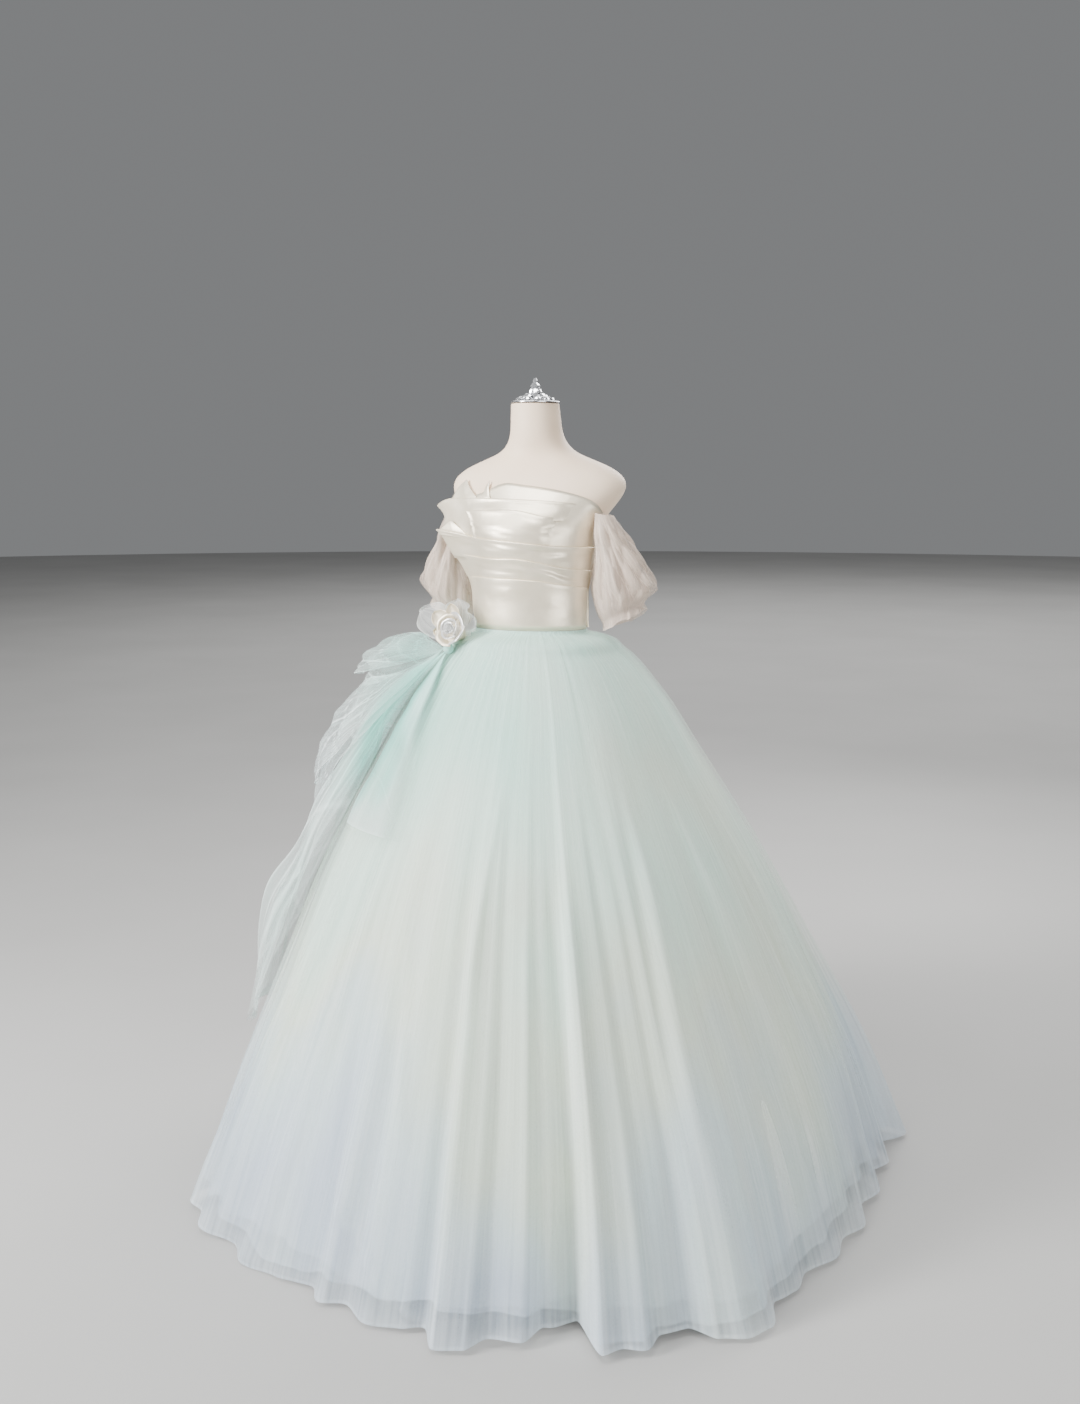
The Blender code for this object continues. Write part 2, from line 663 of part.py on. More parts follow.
def make_flower():
    """A satin rose on a round backing, with loose petals of satin and organza behind it."""
    middle, out, right, up = flower_frame()
    backing = (
        (0.0, 0.0),
        (FLOWER_DISC, 0.0),
        (FLOWER_DISC, -0.0018),
        (FLOWER_STEM, -0.0018),
        (FLOWER_STEM, -STEM_END),
        (0.0, -STEM_END),
    )
    disc = turned("flower_backing", backing, 20, "satin", middle)
    disc.rotation_euler = Matrix((right, up, out)).transposed().to_euler()
    for ring, (count, first, foot, lip, length) in enumerate(ROSE_RINGS):
        span = 360 / count
        for number in range(count):
            start = first + span * number

            def petal(share, rise, start=start, span=span, foot=foot, lip=lip, length=length):
                turn = radians(start + span * share)
                bow = 1 - 0.22 * (2 * share - 1) ** 2
                radius = foot + (lip - foot) * rise**1.6
                flat = right * cos(turn) + up * sin(turn)
                return middle + flat * radius + out * (0.0008 + length * bow * rise)

            name = f"rose_petal_{ring + 1}_{number + 1}"
            rows = (0.0, 0.35, 0.7, 1.0)
            cloth(name, petal, steps_between(0, 1, 5), rows, PETAL, "satin", seam=2 * LOOSE_SEAM)
    for name, direction, length, half, back, steep in LOOSE_PETALS:

        def loose(side, along, turn=radians(direction), at=(length, half, back, steep)):
            length, half, back, steep = at
            way = right * cos(turn) + up * sin(turn)
            beside = out.cross(way)
            width = half * (0.22 + 0.78 * sin(pi * min(1.0, 0.08 + 0.84 * along)) ** 0.7)
            reach = FLOWER_STEM + PETAL / 2 + GAP + length * along
            flat = way * reach + beside * (side * width)
            return middle + flat + out * (steep * max(0.0, flat.length - FLOWER_DISC) - back)

        finish = "satin" if name.startswith("cream") else "mint"
        rows = steps_between(0, 1, 4)
        cloth(name, loose, steps_between(-1, 1, 4), rows, PETAL, finish, seam=0.0)


def knot_frame():
    """The knot's middle and its directions out, right and up along the skirt."""
    middle = on_skirt(KNOT_ANGLE, KNOT_HEIGHT, KNOT_RADIUS + TULLE / 2 + GAP)
    out = (middle - on_skirt(KNOT_ANGLE, KNOT_HEIGHT)).normalized()
    right = Vector((cos(radians(KNOT_ANGLE)), sin(radians(KNOT_ANGLE)), 0.0))
    return middle, out, right, out.cross(right)


def at_knot(name, share):
    """A point of the gathered end of a swag or fall, close to the knot."""
    middle, out, right, up = knot_frame()
    direction, before = LEAVES_KNOT[name]
    way = right * cos(radians(direction)) + up * sin(radians(direction))
    reach = ((KNOT_RADIUS + 2 * GAP) ** 2 - before**2) ** 0.5
    row = out.cross(way) * KNOT_HALF_ROW * (2 * share - 1)
    return middle + way * reach + out * before + row


def between_edges(share, first_out, middle_out, last_out):
    """How far a sheet stands out between its edges."""
    edge = first_out + (last_out - first_out) * share
    return edge + (middle_out - (first_out + last_out) / 2) * sin(pi * share)


def make_swag(name, rows, count):
    """A length of tulle that runs round the hip and stands out from the skirt between its edges."""
    table = columns_of(SWAG_COLUMNS, rows)

    def swag(share, angle):
        if angle == rows[0][0]:
            return at_knot(name, share)
        upper, lower, *outs = (table[key](angle) for key in SWAG_COLUMNS[1:])
        height = upper + (lower - upper) * share
        return on_skirt(angle, height, between_edges(share, *outs), 0.0, 0.0)

    angles = [row[0] for row in rows]
    cloth(name, swag, steps_between(0, 1, count), angles, TULLE, "mint", seam=0.0)


def make_fall(name, rows, count, depth):
    """A length of tulle that hangs over the skirt, made from the skirt's points moved out."""
    table = columns_of(FALL_COLUMNS, rows)

    def fall(share, height):
        if height == rows[0][0]:
            return at_knot(name, share)
        first, last, *outs = (table[key](height) for key in FALL_COLUMNS[1:])
        return on_skirt(first + (last - first) * share, height, between_edges(share, *outs), depth)

    heights = [row[0] for row in rows]
    cloth(name, fall, steps_between(0, 1, count), heights, TULLE, "mint", seam=0.0)


def make_cascade():
    """Two swags and two falling lengths of tulle, caught together in a knot under the flower."""
    middle = knot_frame()[0]
    mesh = bpy.data.meshes.new("cascade_knot")
    ball = bmesh.new()
    bmesh.ops.create_uvsphere(ball, u_segments=16, v_segments=8, radius=KNOT_RADIUS)
    ball.to_mesh(mesh)
    ball.free()
    add_object("cascade_knot", mesh, "mint").location = middle
    make_swag("cascade_upper_swag", UPPER_SWAG, 6)
    make_swag("cascade_lower_swag", LOWER_SWAG, 8)
    make_fall("cascade_tail", TAIL, 8, 0.6)
    make_fall("cascade_front_fall", FRONT_FALL, 9, 1.0)


clear_scene()
parts = bpy.data.collections.new("Ball gown on dress form")
bpy.context.scene.collection.children.link(parts)
make_form()
make_neck_trim()
make_stand()
make_bodice()
make_pleats()
make_points()
make_skirt()
make_sleeves()
make_flower()
make_cascade()
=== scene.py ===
# %% [markdown]
# # A ball gown on its dress form
#
# This lesson dresses a plain model of a strapless ball gown. The plain model already has every
# size: the form, the bodice with its draped bands, two puff sleeves, a wide skirt, and a rose on
# the hip that holds four lengths of tulle. Here each piece gets its real cloth: thin satin with
# rolled folds, and tulle, a fine net that only looks solid where many layers lie over each other.
#
# The first cell loads the plain model as a frame. All lengths are metres, +Z is up, the gown faces
# -Y and the wearer's left is +X. Angles go round the body from the front, towards the wearer's
# left.

# %% Load the frame
from math import cos, pi, radians, sin

import bpy
import numpy as np
from mathutils import Matrix, Vector


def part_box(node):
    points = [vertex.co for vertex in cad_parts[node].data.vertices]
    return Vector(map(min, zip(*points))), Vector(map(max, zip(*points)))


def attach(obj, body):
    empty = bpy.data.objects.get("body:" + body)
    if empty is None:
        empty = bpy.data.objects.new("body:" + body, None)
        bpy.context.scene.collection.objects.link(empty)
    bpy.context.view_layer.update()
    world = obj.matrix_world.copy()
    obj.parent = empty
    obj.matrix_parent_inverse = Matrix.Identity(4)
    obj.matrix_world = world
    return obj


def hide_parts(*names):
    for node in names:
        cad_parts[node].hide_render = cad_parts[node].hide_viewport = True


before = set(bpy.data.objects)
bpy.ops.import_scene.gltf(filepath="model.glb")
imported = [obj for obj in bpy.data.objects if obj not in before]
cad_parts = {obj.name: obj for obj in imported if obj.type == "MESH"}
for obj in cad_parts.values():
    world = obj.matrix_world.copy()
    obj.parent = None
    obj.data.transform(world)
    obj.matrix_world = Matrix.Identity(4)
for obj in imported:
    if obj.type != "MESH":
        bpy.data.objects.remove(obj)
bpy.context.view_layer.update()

# %% [markdown]
# ## Camera, light and floor
#
# The camera stands where the photographer stood: a little above the waist, three metres away and 18
# degrees towards the wearer's left. A product photograph of pale cloth wants large soft lamps,
# because a small lamp would draw hard shadows in every fold. The main one is high on the left, a
# weaker one fills the right side, and one behind draws the edges of the sheer layers.

# %% Camera
CAMERA_PLACE = (0.9385, -2.8884, 1.453)
CAMERA_DOWN = 8.91
CAMERA_ROUND = 18.0
FOCAL_MM = 37.92


def add_object(name, data, place=(0, 0, 0), turn=(0, 0, 0)):
    """Put a camera, a lamp or a mesh into the scene."""
    obj = bpy.data.objects.new(name, data)
    obj.location, obj.rotation_euler = place, turn
    bpy.context.scene.collection.objects.link(obj)
    return obj


camera_data = bpy.data.cameras.new("camera")
camera_data.sensor_fit, camera_data.sensor_height = "VERTICAL", 36.0
camera_data.lens = FOCAL_MM
camera_turn = (radians(90 - CAMERA_DOWN), 0.0, radians(CAMERA_ROUND))
bpy.context.scene.camera = add_object("camera", camera_data, CAMERA_PLACE, camera_turn)
print("camera height", CAMERA_PLACE[2], "m, focal length", FOCAL_MM, "mm on a 36 mm tall frame")

# %% Lamps
# name, place, what it points at, width, height, power in watts
LAMPS = (
    ("lamp_main", (-2.8, -3.0, 2.4), (0.0, 0.0, 1.0), 1.1, 2.4, 420.0),
    ("lamp_fill", (3.0, -2.6, 0.9), (0.3, 0.0, 0.4), 2.4, 1.4, 85.0),
    ("lamp_behind", (0.9, 2.9, 2.9), (0.0, 0.0, 1.0), 2.2, 2.2, 120.0),
    ("lamp_above", (-0.4, -1.3, 3.5), (0.0, 0.0, 1.2), 1.6, 1.2, 95.0),
    ("lamp_floor", (0.0, 9.0, 6.0), (0.0, 9.01, 0.0), 12.0, 12.0, 900.0),
)
for name, place, target, width, tall, watts in LAMPS:
    lamp_data = bpy.data.lights.new(name, "AREA")
    lamp_data.shape = "RECTANGLE"
    lamp_data.size, lamp_data.size_y, lamp_data.energy = width, tall, watts
    aim = (Vector(target) - Vector(place)).to_track_quat("-Z", "Y")
    add_object(name, lamp_data, place, aim.to_euler())
print(len(LAMPS), "soft lamps")

# %% [markdown]
# Five small helpers serve every material. The first turns a colour written as in a drawing program
# into the light values that a shader works with. The second feeds a node's inputs, the third adds
# one node with its settings and links, and the last two start a material.


# %% Helpers for materials
def linear(colour):
    """The light values of a colour written as #rrggbb."""
    parts = [int(colour[i : i + 2], 16) / 255 for i in (1, 3, 5)]
    return (*(c / 12.92 if c <= 0.04045 else ((c + 0.055) / 1.055) ** 2.4 for c in parts), 1.0)


def feed(node, inputs):
    """Give each input a number, a colour, an output, or a node whose first output feeds it."""
    for name, value in inputs.items():
        if isinstance(value, bpy.types.Node):
            value = value.outputs[0]
        if isinstance(value, bpy.types.NodeSocket):
            node.id_data.links.new(value, node.inputs[name])
        else:
            node.inputs[name].default_value = value


def add_node(tree, kind, inputs=None, stops=None, **settings):
    """Add a node with its settings and links. stops are the places and colours of a ramp."""
    node = tree.nodes.new("ShaderNode" + kind)
    for name, value in settings.items():
        setattr(node, name, value)
    feed(node, inputs or {})
    if stops:
        ramp = node.color_ramp.elements
        while len(ramp) < len(stops):
            ramp.new(0.5)
        for element, (place, colour) in zip(ramp, stops):
            element.position = place
            element.color = linear(colour)
    return node


def new_material(name):
    """An empty material, its tree, its shader and the piece's own coordinates."""
    material = bpy.data.materials.new(name)
    material.use_nodes = True
    tree = material.node_tree
    place = add_node(tree, "TexCoord").outputs["Object"]
    return material, tree, tree.nodes["Principled BSDF"], place


def mottled(name, noise, tones):
    """A material whose colour wanders between two tones, with its parts and its noise."""
    material, tree, shader, place = new_material(name)
    cloud = add_node(tree, "TexNoise", {"Vector": place, **noise})
    feed(shader, {"Base Color": add_node(tree, "ValToRGB", {"Fac": cloud}, tones)})
    return material, tree, shader, place, cloud


print("helpers ready, white is", linear("#ffffff")[:3])

# %% Floor and air
world = bpy.data.worlds.new("studio")
world.use_nodes = True
bpy.context.scene.world = world
feed(world.node_tree.nodes["Background"], {"Color": linear("#c9cbcd"), "Strength": 0.36})


def add_shape(name, add, **settings):
    """Add a primitive under its name, with nothing else selected."""
    bpy.ops.object.select_all(action="DESELECT")
    add(**settings)
    bpy.context.object.name = name
    return bpy.context.object


floor = add_shape(
    "studio_floor",
    bpy.ops.mesh.primitive_circle_add,
    vertices=96,
    radius=24.0,
    fill_type="NGON",
    location=(0, 0, -0.0005),
)
bpy.ops.object.transform_apply()
floor_paint, tree, shader, _ = new_material("matt_studio_floor")
speckle = add_node(tree, "TexNoise", {"Scale": 40.0, "Detail": 3.0})
tone = add_node(tree, "ValToRGB", {"Fac": speckle}, ((0.3, "#a8a7a5"), (0.7, "#afaeac")))
feed(shader, {"Base Color": tone, "Roughness": 0.85})
floor.data.materials.append(floor_paint)
print("floor and air ready")

# %% [markdown]
# ## Curves through tables
#
# Every form here is worked out from short tables: a row for each height or angle, and a smooth
# curve through the rows. A second helper joins rows that stand for the crests and troughs of folds,
# flat at each row, so that a fold can rise slowly on one side and drop steeply on the other, as
# cloth does.


# %% Curves through tables
def curve(table, column, at):
    """A smooth curve through one column of a table, read at places in its first column."""
    rows = np.array(sorted(table), float)
    places, values = rows[:, 0], rows[:, column]
    slopes = np.gradient(values, places)
    i = np.clip(np.searchsorted(places, at) - 1, 0, len(places) - 2)
    gap = places[i + 1] - places[i]
    x = np.clip((at - places[i]) / gap, 0.0, 1.0)
    start = (1 + 2 * x) * (1 - x) ** 2 * values[i] + x * (1 - x) ** 2 * gap * slopes[i]
    end = x * x * (3 - 2 * x) * values[i + 1] + x * x * (x - 1) * gap * slopes[i + 1]
    return start + end


def waves(table, angle):
    """Folds round the body: from crest to trough and back, closed after a full turn."""
    rows = np.array(table, float)
    rows = np.vstack([rows, [rows[0, 0] + 360, rows[0, 1]]])
    at = (np.asarray(angle, float) - rows[0, 0]) % 360 + rows[0, 0]
    i = np.clip(np.searchsorted(rows[:, 0], at, side="right") - 1, 0, len(rows) - 2)
    x = (at - rows[i, 0]) / (rows[i + 1, 0] - rows[i, 0])
    return rows[i, 1] + (rows[i + 1, 1] - rows[i, 1]) * x * x * (3 - 2 * x)


def uneven(angle, count, seed):
    """Small gathers round a full turn, each with its own place and height, always the same."""
    draw = np.random.default_rng(seed)
    places = (np.arange(count) + draw.uniform(-0.42, 0.42, count)) * 360 / count
    heights = draw.uniform(-1, 1, count)
    # Most gathers are slight and a few are deep
    heights = heights * (0.35 + 0.65 * np.abs(heights))
    return waves(np.stack([places, heights], 1)[np.argsort(places)], angle)


def fade(value, start, end):
    """0 before start, 1 after end, smooth between them. Start may be the larger."""
    x = np.clip((np.asarray(value, float) - start) / (end - start), 0.0, 1.0)
    return x * x * (3 - 2 * x)


def off_by(angle, middle):
    """How far an angle is from another, the short way round."""
    return (angle - middle + 180) % 360 - 180


def crumple(turn, along, seed, whole=False):
    """Flat facets between crossing creases, as crisp net keeps, and their sharp lines."""
    draw = np.random.default_rng(seed)
    total, lines = 0.0, 0.0
    for _ in range(3):
        across = draw.uniform(2.2, 5.6)
        phase = (round(across) if whole else across) * turn + draw.uniform(-6, 6) * along
        phase = phase + draw.uniform(0.4, 1.0) * np.sin(2.4 * along + draw.uniform(0, 6))
        phase = phase + draw.uniform(0.2, 0.5) * np.sin(5 * turn + draw.uniform(0, 6)) * (not whole)
        total = total + np.abs(np.sin(phase)) - 0.64
        clear = fade(np.sin(0.5 * phase + draw.uniform(0, 6)), -0.6, 0.4)
        lines = lines + clear * np.exp(-((np.sin(phase) / 0.06) ** 2))
    return total / 1.8, np.clip(lines, 0, 1)


print("a fold, halfway up at 10 degrees:", round(float(waves(((0, 0), (20, 1), (200, 0)), 10)), 3))

# %% [markdown]
# A cloth piece is a grid of points, joined into faces by code, because no primitive has its shape.
# The helper that makes one also hides the plain pieces it stands for.


# %% Helpers for pieces
def select_only(*objects):
    """Select these and nothing else, the first one as the active one."""
    bpy.ops.object.select_all(action="DESELECT")
    for obj in objects:
        obj.select_set(True)
    bpy.context.view_layer.objects.active = objects[0]


def apply_modifiers(obj):
    """Apply all of a piece's modifiers, with nothing else selected."""
    select_only(obj)
    for modifier in list(obj.modifiers):
        bpy.ops.object.modifier_apply(modifier=modifier.name)


def stand_in(obj, slot, *nodes):
    """A piece rides on the one body and stands for plain nodes, which it hides. slot is not used.
    """
    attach(obj, "root")
    if nodes:
        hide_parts(*nodes)


def cloth(name, points, material, slot, nodes=(), thick=0, ring=False, size=(1, 1), dense=None):
    """A cloth piece from a grid of points: columns across, rows from top to foot.

    Its UV map is in metres of cloth, and thick gives it a wall to both sides. dense, if given, says
    how much each point hides what is behind.
    """
    columns, rows = points.shape[:2]
    spans = columns if ring else columns - 1
    i, j = np.meshgrid(np.arange(spans), np.arange(rows - 1), indexing="ij")
    here = i * rows + j
    beside = (i + 1) % columns * rows + j
    faces = np.stack([here, here + 1, beside + 1, beside], -1).reshape(-1, 4)
    mesh = bpy.data.meshes.new(name)
    mesh.vertices.add(columns * rows)
    mesh.vertices.foreach_set("co", points.reshape(-1))
    mesh.loops.add(faces.size)
    mesh.loops.foreach_set("vertex_index", faces.reshape(-1))
    mesh.polygons.add(len(faces))
    mesh.polygons.foreach_set("loop_start", np.arange(0, faces.size, 4))
    across = np.stack([i, i, i + 1, i + 1], -1) * size[0] / spans
    along = np.stack([j, j + 1, j + 1, j], -1) * size[1] / (rows - 1)
    mesh.update(calc_edges=True)
    uv = mesh.uv_layers.new(name="cloth")
    uv.data.foreach_set("uv", np.stack([across, along], -1).reshape(-1).astype(np.float32))
    if dense is not None:
        layer = mesh.attributes.new("dense", "FLOAT", "POINT")
        layer.data.foreach_set("value", dense.reshape(-1).astype(np.float32))
    mesh.validate()
    mesh.materials.append(material)
    mesh.shade_smooth()
    obj = add_object(name, mesh)
    if thick:
        wall = obj.modifiers.new("wall", "SOLIDIFY")
        wall.thickness, wall.offset = thick, 0.0
        apply_modifiers(obj)
    stand_in(obj, slot, *nodes)
    return obj


def cloth_area(obj, sides=2):
    """The area of a piece's cloth. A piece with a wall has two sides."""
    return sum(face.area for face in obj.data.polygons) / sides


print("helpers for pieces ready")

# %% [markdown]
# ## The dress form
#
# The form is a limbless torso under a stretched jersey cover, on a pole and a round plate. A torso
# has no hard edges, so it is drawn as a stack of level rings: a circle is added, squeezed to the
# first section, and extruded upwards ring by ring, each one moved and scaled to its own section.
# Subdivision then rounds it. A sculpted mesh would do as well, but the rings keep every measured
# width.

# %% Sections of the form
# height, half width, how far the front and the back are from the middle
FORM = (
    (0.9, 0.13, 0.1, 0.08),
    (0.95, 0.146, 0.115, 0.105),
    (1.0, 0.148, 0.12, 0.105),
    (1.05, 0.14, 0.122, 0.085),
    (1.1, 0.124, 0.132, 0.045),
    (1.14, 0.1125, 0.1385, 0.02),
    (1.18, 0.111, 0.138, 0.017),
    (1.215, 0.1105, 0.139, 0.022),
    (1.255, 0.116, 0.142, 0.043),
    (1.3, 0.124, 0.15, 0.062),
    (1.34, 0.134, 0.15, 0.071),
    (1.37, 0.152, 0.134, 0.08),
    (1.4, 0.176, 0.112, 0.084),
    (1.425, 0.184, 0.097, 0.084),
    (1.445, 0.172, 0.086, 0.078),
    (1.465, 0.137, 0.076, 0.07),
    (1.485, 0.084, 0.071, 0.057),
    (1.503, 0.063, 0.072, 0.045),
    (1.52, 0.0545, 0.076, 0.036),
    (1.55, 0.051, 0.078, 0.026),
    (1.585, 0.0485, 0.08, 0.018),
)
FORM_INSIDE = 0.0004


def form_section(height):
    """Half width, front and back of the form at heights."""
    return tuple(curve(FORM, column, height) for column in (1, 2, 3))


def on_form(angle, height, out=0.0):
    """Points of the form's skin, moved out by a distance."""
    angle, height, out = np.broadcast_arrays(angle, height, out)
    turn = np.radians(angle)
    half, front, back = form_section(height)
    x = (half + out) * np.sin(turn)
    y = (back - front) / 2 - ((front + back) / 2 + out) * np.cos(turn)
    return np.stack([x, y, height], -1)


print("waist of the form, half width and depths:", [round(float(v), 3) for v in form_section(1.14)])

# %% Jersey material
# A fine cotton jersey, stretched and glued: matt, with a faint rib and a little warm mottling.
jersey, tree, shader, place, _ = mottled(
    "stretched_cotton_jersey", {"Scale": 9.0, "Detail": 4.0}, ((0.3, "#eed4b9"), (0.72, "#f5dfc6"))
)
# Jersey ribs are 0.8 mm apart. They are drawn 2.4 mm apart, because finer ones would not show.
RIB_MM = 2.4
rib = {"Vector": place, "Scale": 1000 / RIB_MM / 20, "Distortion": 1.2, "Detail": 2.0}
ribs = add_node(tree, "TexWave", rib, bands_direction="X").outputs["Fac"]
relief = add_node(tree, "Bump", {"Height": ribs, "Strength": 0.05, "Distance": 0.0004})
feed(shader, {"Normal": relief, "Roughness": 0.55, "Sheen Weight": 0.15, "Sheen Roughness": 0.4})
print("jersey ready")

# %% Torso
BODY_RINGS = (0.9, 0.903, 0.93, 0.975, 1.02, 1.06, 1.1, 1.14, 1.18, 1.215, 1.255, 1.3, 1.335, 1.365)
NECK_RINGS = (1.39, 1.412, 1.43, 1.446, 1.461, 1.474, 1.486, 1.498, 1.512, 1.53, 1.555, 1.578)
TOP_RINGS = (1.5835, 1.5848)
torso = add_shape(
    "form_cover", bpy.ops.mesh.primitive_circle_add, vertices=40, radius=1.0, fill_type="NOTHING"
)
bpy.ops.object.mode_set(mode="EDIT")
before = (1.0, 1.0, 0.0, 0.0)
for height in (*BODY_RINGS, *NECK_RINGS, *TOP_RINGS):
    half, front, back = (float(v) - FORM_INSIDE for v in form_section(height))
    now = (half, (front + back) / 2, (back - front) / 2, height)
    rise = (0, now[2] - before[2], now[3] - before[3])
    if height == BODY_RINGS[0]:
        bpy.ops.transform.translate(value=rise)
    else:
        bpy.ops.mesh.extrude_region_move(TRANSFORM_OT_translate={"value": rise})
    squeeze = (now[0] / before[0], now[1] / before[1], 1.0)
    bpy.ops.transform.resize(value=squeeze, center_override=(0, now[2], now[3]))
    before = now
bpy.ops.mesh.edge_face_add()
bpy.ops.mesh.select_all(action="DESELECT")
bpy.ops.object.mode_set(mode="OBJECT")
for edge in torso.data.edges:
    edge.select = all(torso.data.vertices[v].co.z < BODY_RINGS[0] + 0.0001 for v in edge.vertices)
bpy.ops.object.mode_set(mode="EDIT")
bpy.ops.mesh.select_mode(type="EDGE")
bpy.ops.mesh.edge_face_add()
bpy.ops.mesh.select_all(action="SELECT")
bpy.ops.mesh.normals_make_consistent(inside=False)
bpy.ops.object.mode_set(mode="OBJECT")
bpy.ops.object.transform_apply()
torso.data.materials.append(jersey)
torso.data.shade_smooth()
soft = torso.modifiers.new("soft", "SUBSURF")
soft.levels = soft.render_levels = 2
apply_modifiers(torso)
bpy.ops.object.shade_smooth_by_angle(angle=radians(50))
stand_in(torso, "form", "form_torso")
print("torso", len(torso.data.polygons), "faces")

# %% [markdown]
# The neck is closed by a silver cap with a finial of cut stones: a wide ring of stones, a smaller
# crown, and one stone on top. A cut stone is a short prism with a small table and a point below, so
# it starts as an eight-sided cylinder whose ends are inset and moved, and it keeps its flat faces.

# %% Silver and cut-stone material
# Chrome-plated brass: a clear mirror with faint smears.
plate, tree, shader, place = new_material("chrome_plated_brass")
smear = add_node(tree, "TexNoise", {"Vector": place, "Scale": 120.0, "Detail": 2.0})
gloss = add_node(tree, "MapRange", {"Value": smear, "To Min": 0.08, "To Max": 0.22})
feed(shader, {"Base Color": linear("#dcdcde"), "Metallic": 1.0, "Roughness": gloss})

# Foil-backed glass stones: each flat face mirrors another part of the room, so they glitter.
stone_glass, _, shader, _, _ = mottled(
    "foil_backed_cut_glass", {"Scale": 300.0, "Detail": 1.0}, ((0.25, "#d8dade"), (0.75, "#ffffff"))
)
feed(shader, {"Metallic": 0.85, "Roughness": 0.06, "Coat Weight": 1.0, "Coat Roughness": 0.02})
print("metal and stone ready")

# %% Neck cap
cap_low, cap_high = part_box("neck_cap")
cap_middle = ((cap_low[0] + cap_high[0]) / 2, (cap_low[1] + cap_high[1]) / 2)
cap_radius = (cap_high[0] - cap_low[0]) / 2


def pick_faces(obj, way):
    """In edit mode, select the faces that look up (way is 1) or down (way is -1)."""
    bpy.ops.object.mode_set(mode="OBJECT")
    for part in (*obj.data.vertices, *obj.data.edges):
        part.select = False
    for face in obj.data.polygons:
        face.select = way * face.normal.z > 0.9
    bpy.ops.object.mode_set(mode="EDIT")
    bpy.ops.mesh.select_mode(type="FACE")


def finish_shape(obj, material, edge, segments, smooth):
    """Round a hard piece's edges and give it its material."""
    edges = obj.modifiers.new("edges", "BEVEL")
    edges.width, edges.segments, edges.limit_method = edge, segments, "ANGLE"
    apply_modifiers(obj)
    obj.data.materials.append(material)
    bpy.ops.object.shade_smooth_by_angle(angle=radians(smooth))


cap = add_shape(
    "neck_cap_dressed",
    bpy.ops.mesh.primitive_cylinder_add,
    vertices=48,
    radius=cap_radius,
    depth=0.0022,
    location=(*cap_middle, cap_low[2] + 0.0013),
)
bpy.ops.object.transform_apply()
pick_faces(cap, 1)
for inset, rise in ((0.0025, 0.0010), (0.0080, 0.0012), (0.0110, 0.0012), (0.0060, 0.0008)):
    bpy.ops.mesh.inset(thickness=inset, depth=rise)
bpy.ops.object.mode_set(mode="OBJECT")
finish_shape(cap, plate, 0.0005, 2, 35)
stand_in(cap, "chrome", "neck_cap")
print("cap radius", round(cap_radius, 4))

# %% Finial of cut stones
# ring radius, height above the cap's foot, stones in the ring, stone radius, stone height, lean
STONE_TIERS = (
    (0.033, 0.0085, 11, 0.0075, 0.006, 24),
    (0.02, 0.0135, 8, 0.0074, 0.0066, 38),
    (0.0085, 0.0225, 5, 0.0066, 0.008, 62),
    (0.0, 0.033, 1, 0.01, 0.012, 0),
    (0.0, 0.042, 1, 0.0052, 0.013, 0),
)


def cut_stone(name, radius, tall, place, lean, turn):
    """One cut stone, leaning outwards round the finial's axis."""
    add = bpy.ops.mesh.primitive_cylinder_add
    stone = add_shape(name, add, vertices=8, radius=radius, depth=tall * 0.28)
    for way, inset in ((1, 0.42), (-1, 0.78)):
        pick_faces(stone, way)
        bpy.ops.mesh.inset(thickness=radius * inset, depth=tall * 0.36)
    bpy.ops.object.mode_set(mode="OBJECT")
    leaning = Matrix.Rotation(turn, 4, "Z") @ Matrix.Rotation(radians(lean), 4, "Y")
    stone.matrix_world = Matrix.Translation(place) @ leaning
    bpy.ops.object.transform_apply()
    stone.data.materials.append(stone_glass)
    return stone


stones = []
for tier, (ring, rise, count, radius, tall, lean) in enumerate(STONE_TIERS):
    for number in range(count):
        turn = 2 * pi * (number + 0.5 * (tier % 2)) / count
        x, y = cap_middle[0] + ring * cos(turn), cap_middle[1] + ring * sin(turn)
        name = f"stone_{tier + 1}_{number + 1}"
        stones.append(cut_stone(name, radius, tall, (x, y, cap_low[2] + rise), lean, turn))
select_only(*stones)
bpy.ops.object.join()
finial = bpy.context.object
finial.name = "neck_finial_stones"
finial.data.shade_flat()
stand_in(finial, "chrome", "neck_knob")
print("finial of", len(stones), "stones")

# %% Pole and plate
# The stand keeps its plain model. The plate is powder-coated steel: fine orange peel, soft gloss.
coated, tree, shader, place, _ = mottled(
    "powder_coated_steel", {"Scale": 14.0, "Detail": 5.0}, ((0.35, "#d9d8d4"), (0.7, "#e6e5e1"))
)
peel = add_node(tree, "TexNoise", {"Vector": place, "Scale": 500.0, "Detail": 1.0})
relief = add_node(tree, "Bump", {"Height": peel, "Strength": 0.15, "Distance": 0.0003})
feed(shader, {"Normal": relief, "Roughness": 0.4})
for node, finish in (("stand_plate", coated), ("stand_pole", plate)):
    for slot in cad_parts[node].material_slots:
        slot.material = finish
print("stand finished")

# %% [markdown]
# ## The bodice
#
# Duchess satin is a heavy silk weave whose threads float on the face, so it has a soft broad shine
# and bends into few, clean folds. The front is a plain panel; over it lie five draped bands. Each
# band's upper edge is a fold: the cloth comes up, rolls over and goes down again behind. A flat
# strip with a hard edge would look like card, so the roll is modelled: the band's grid runs up the
# face, round a small half circle and down the back.


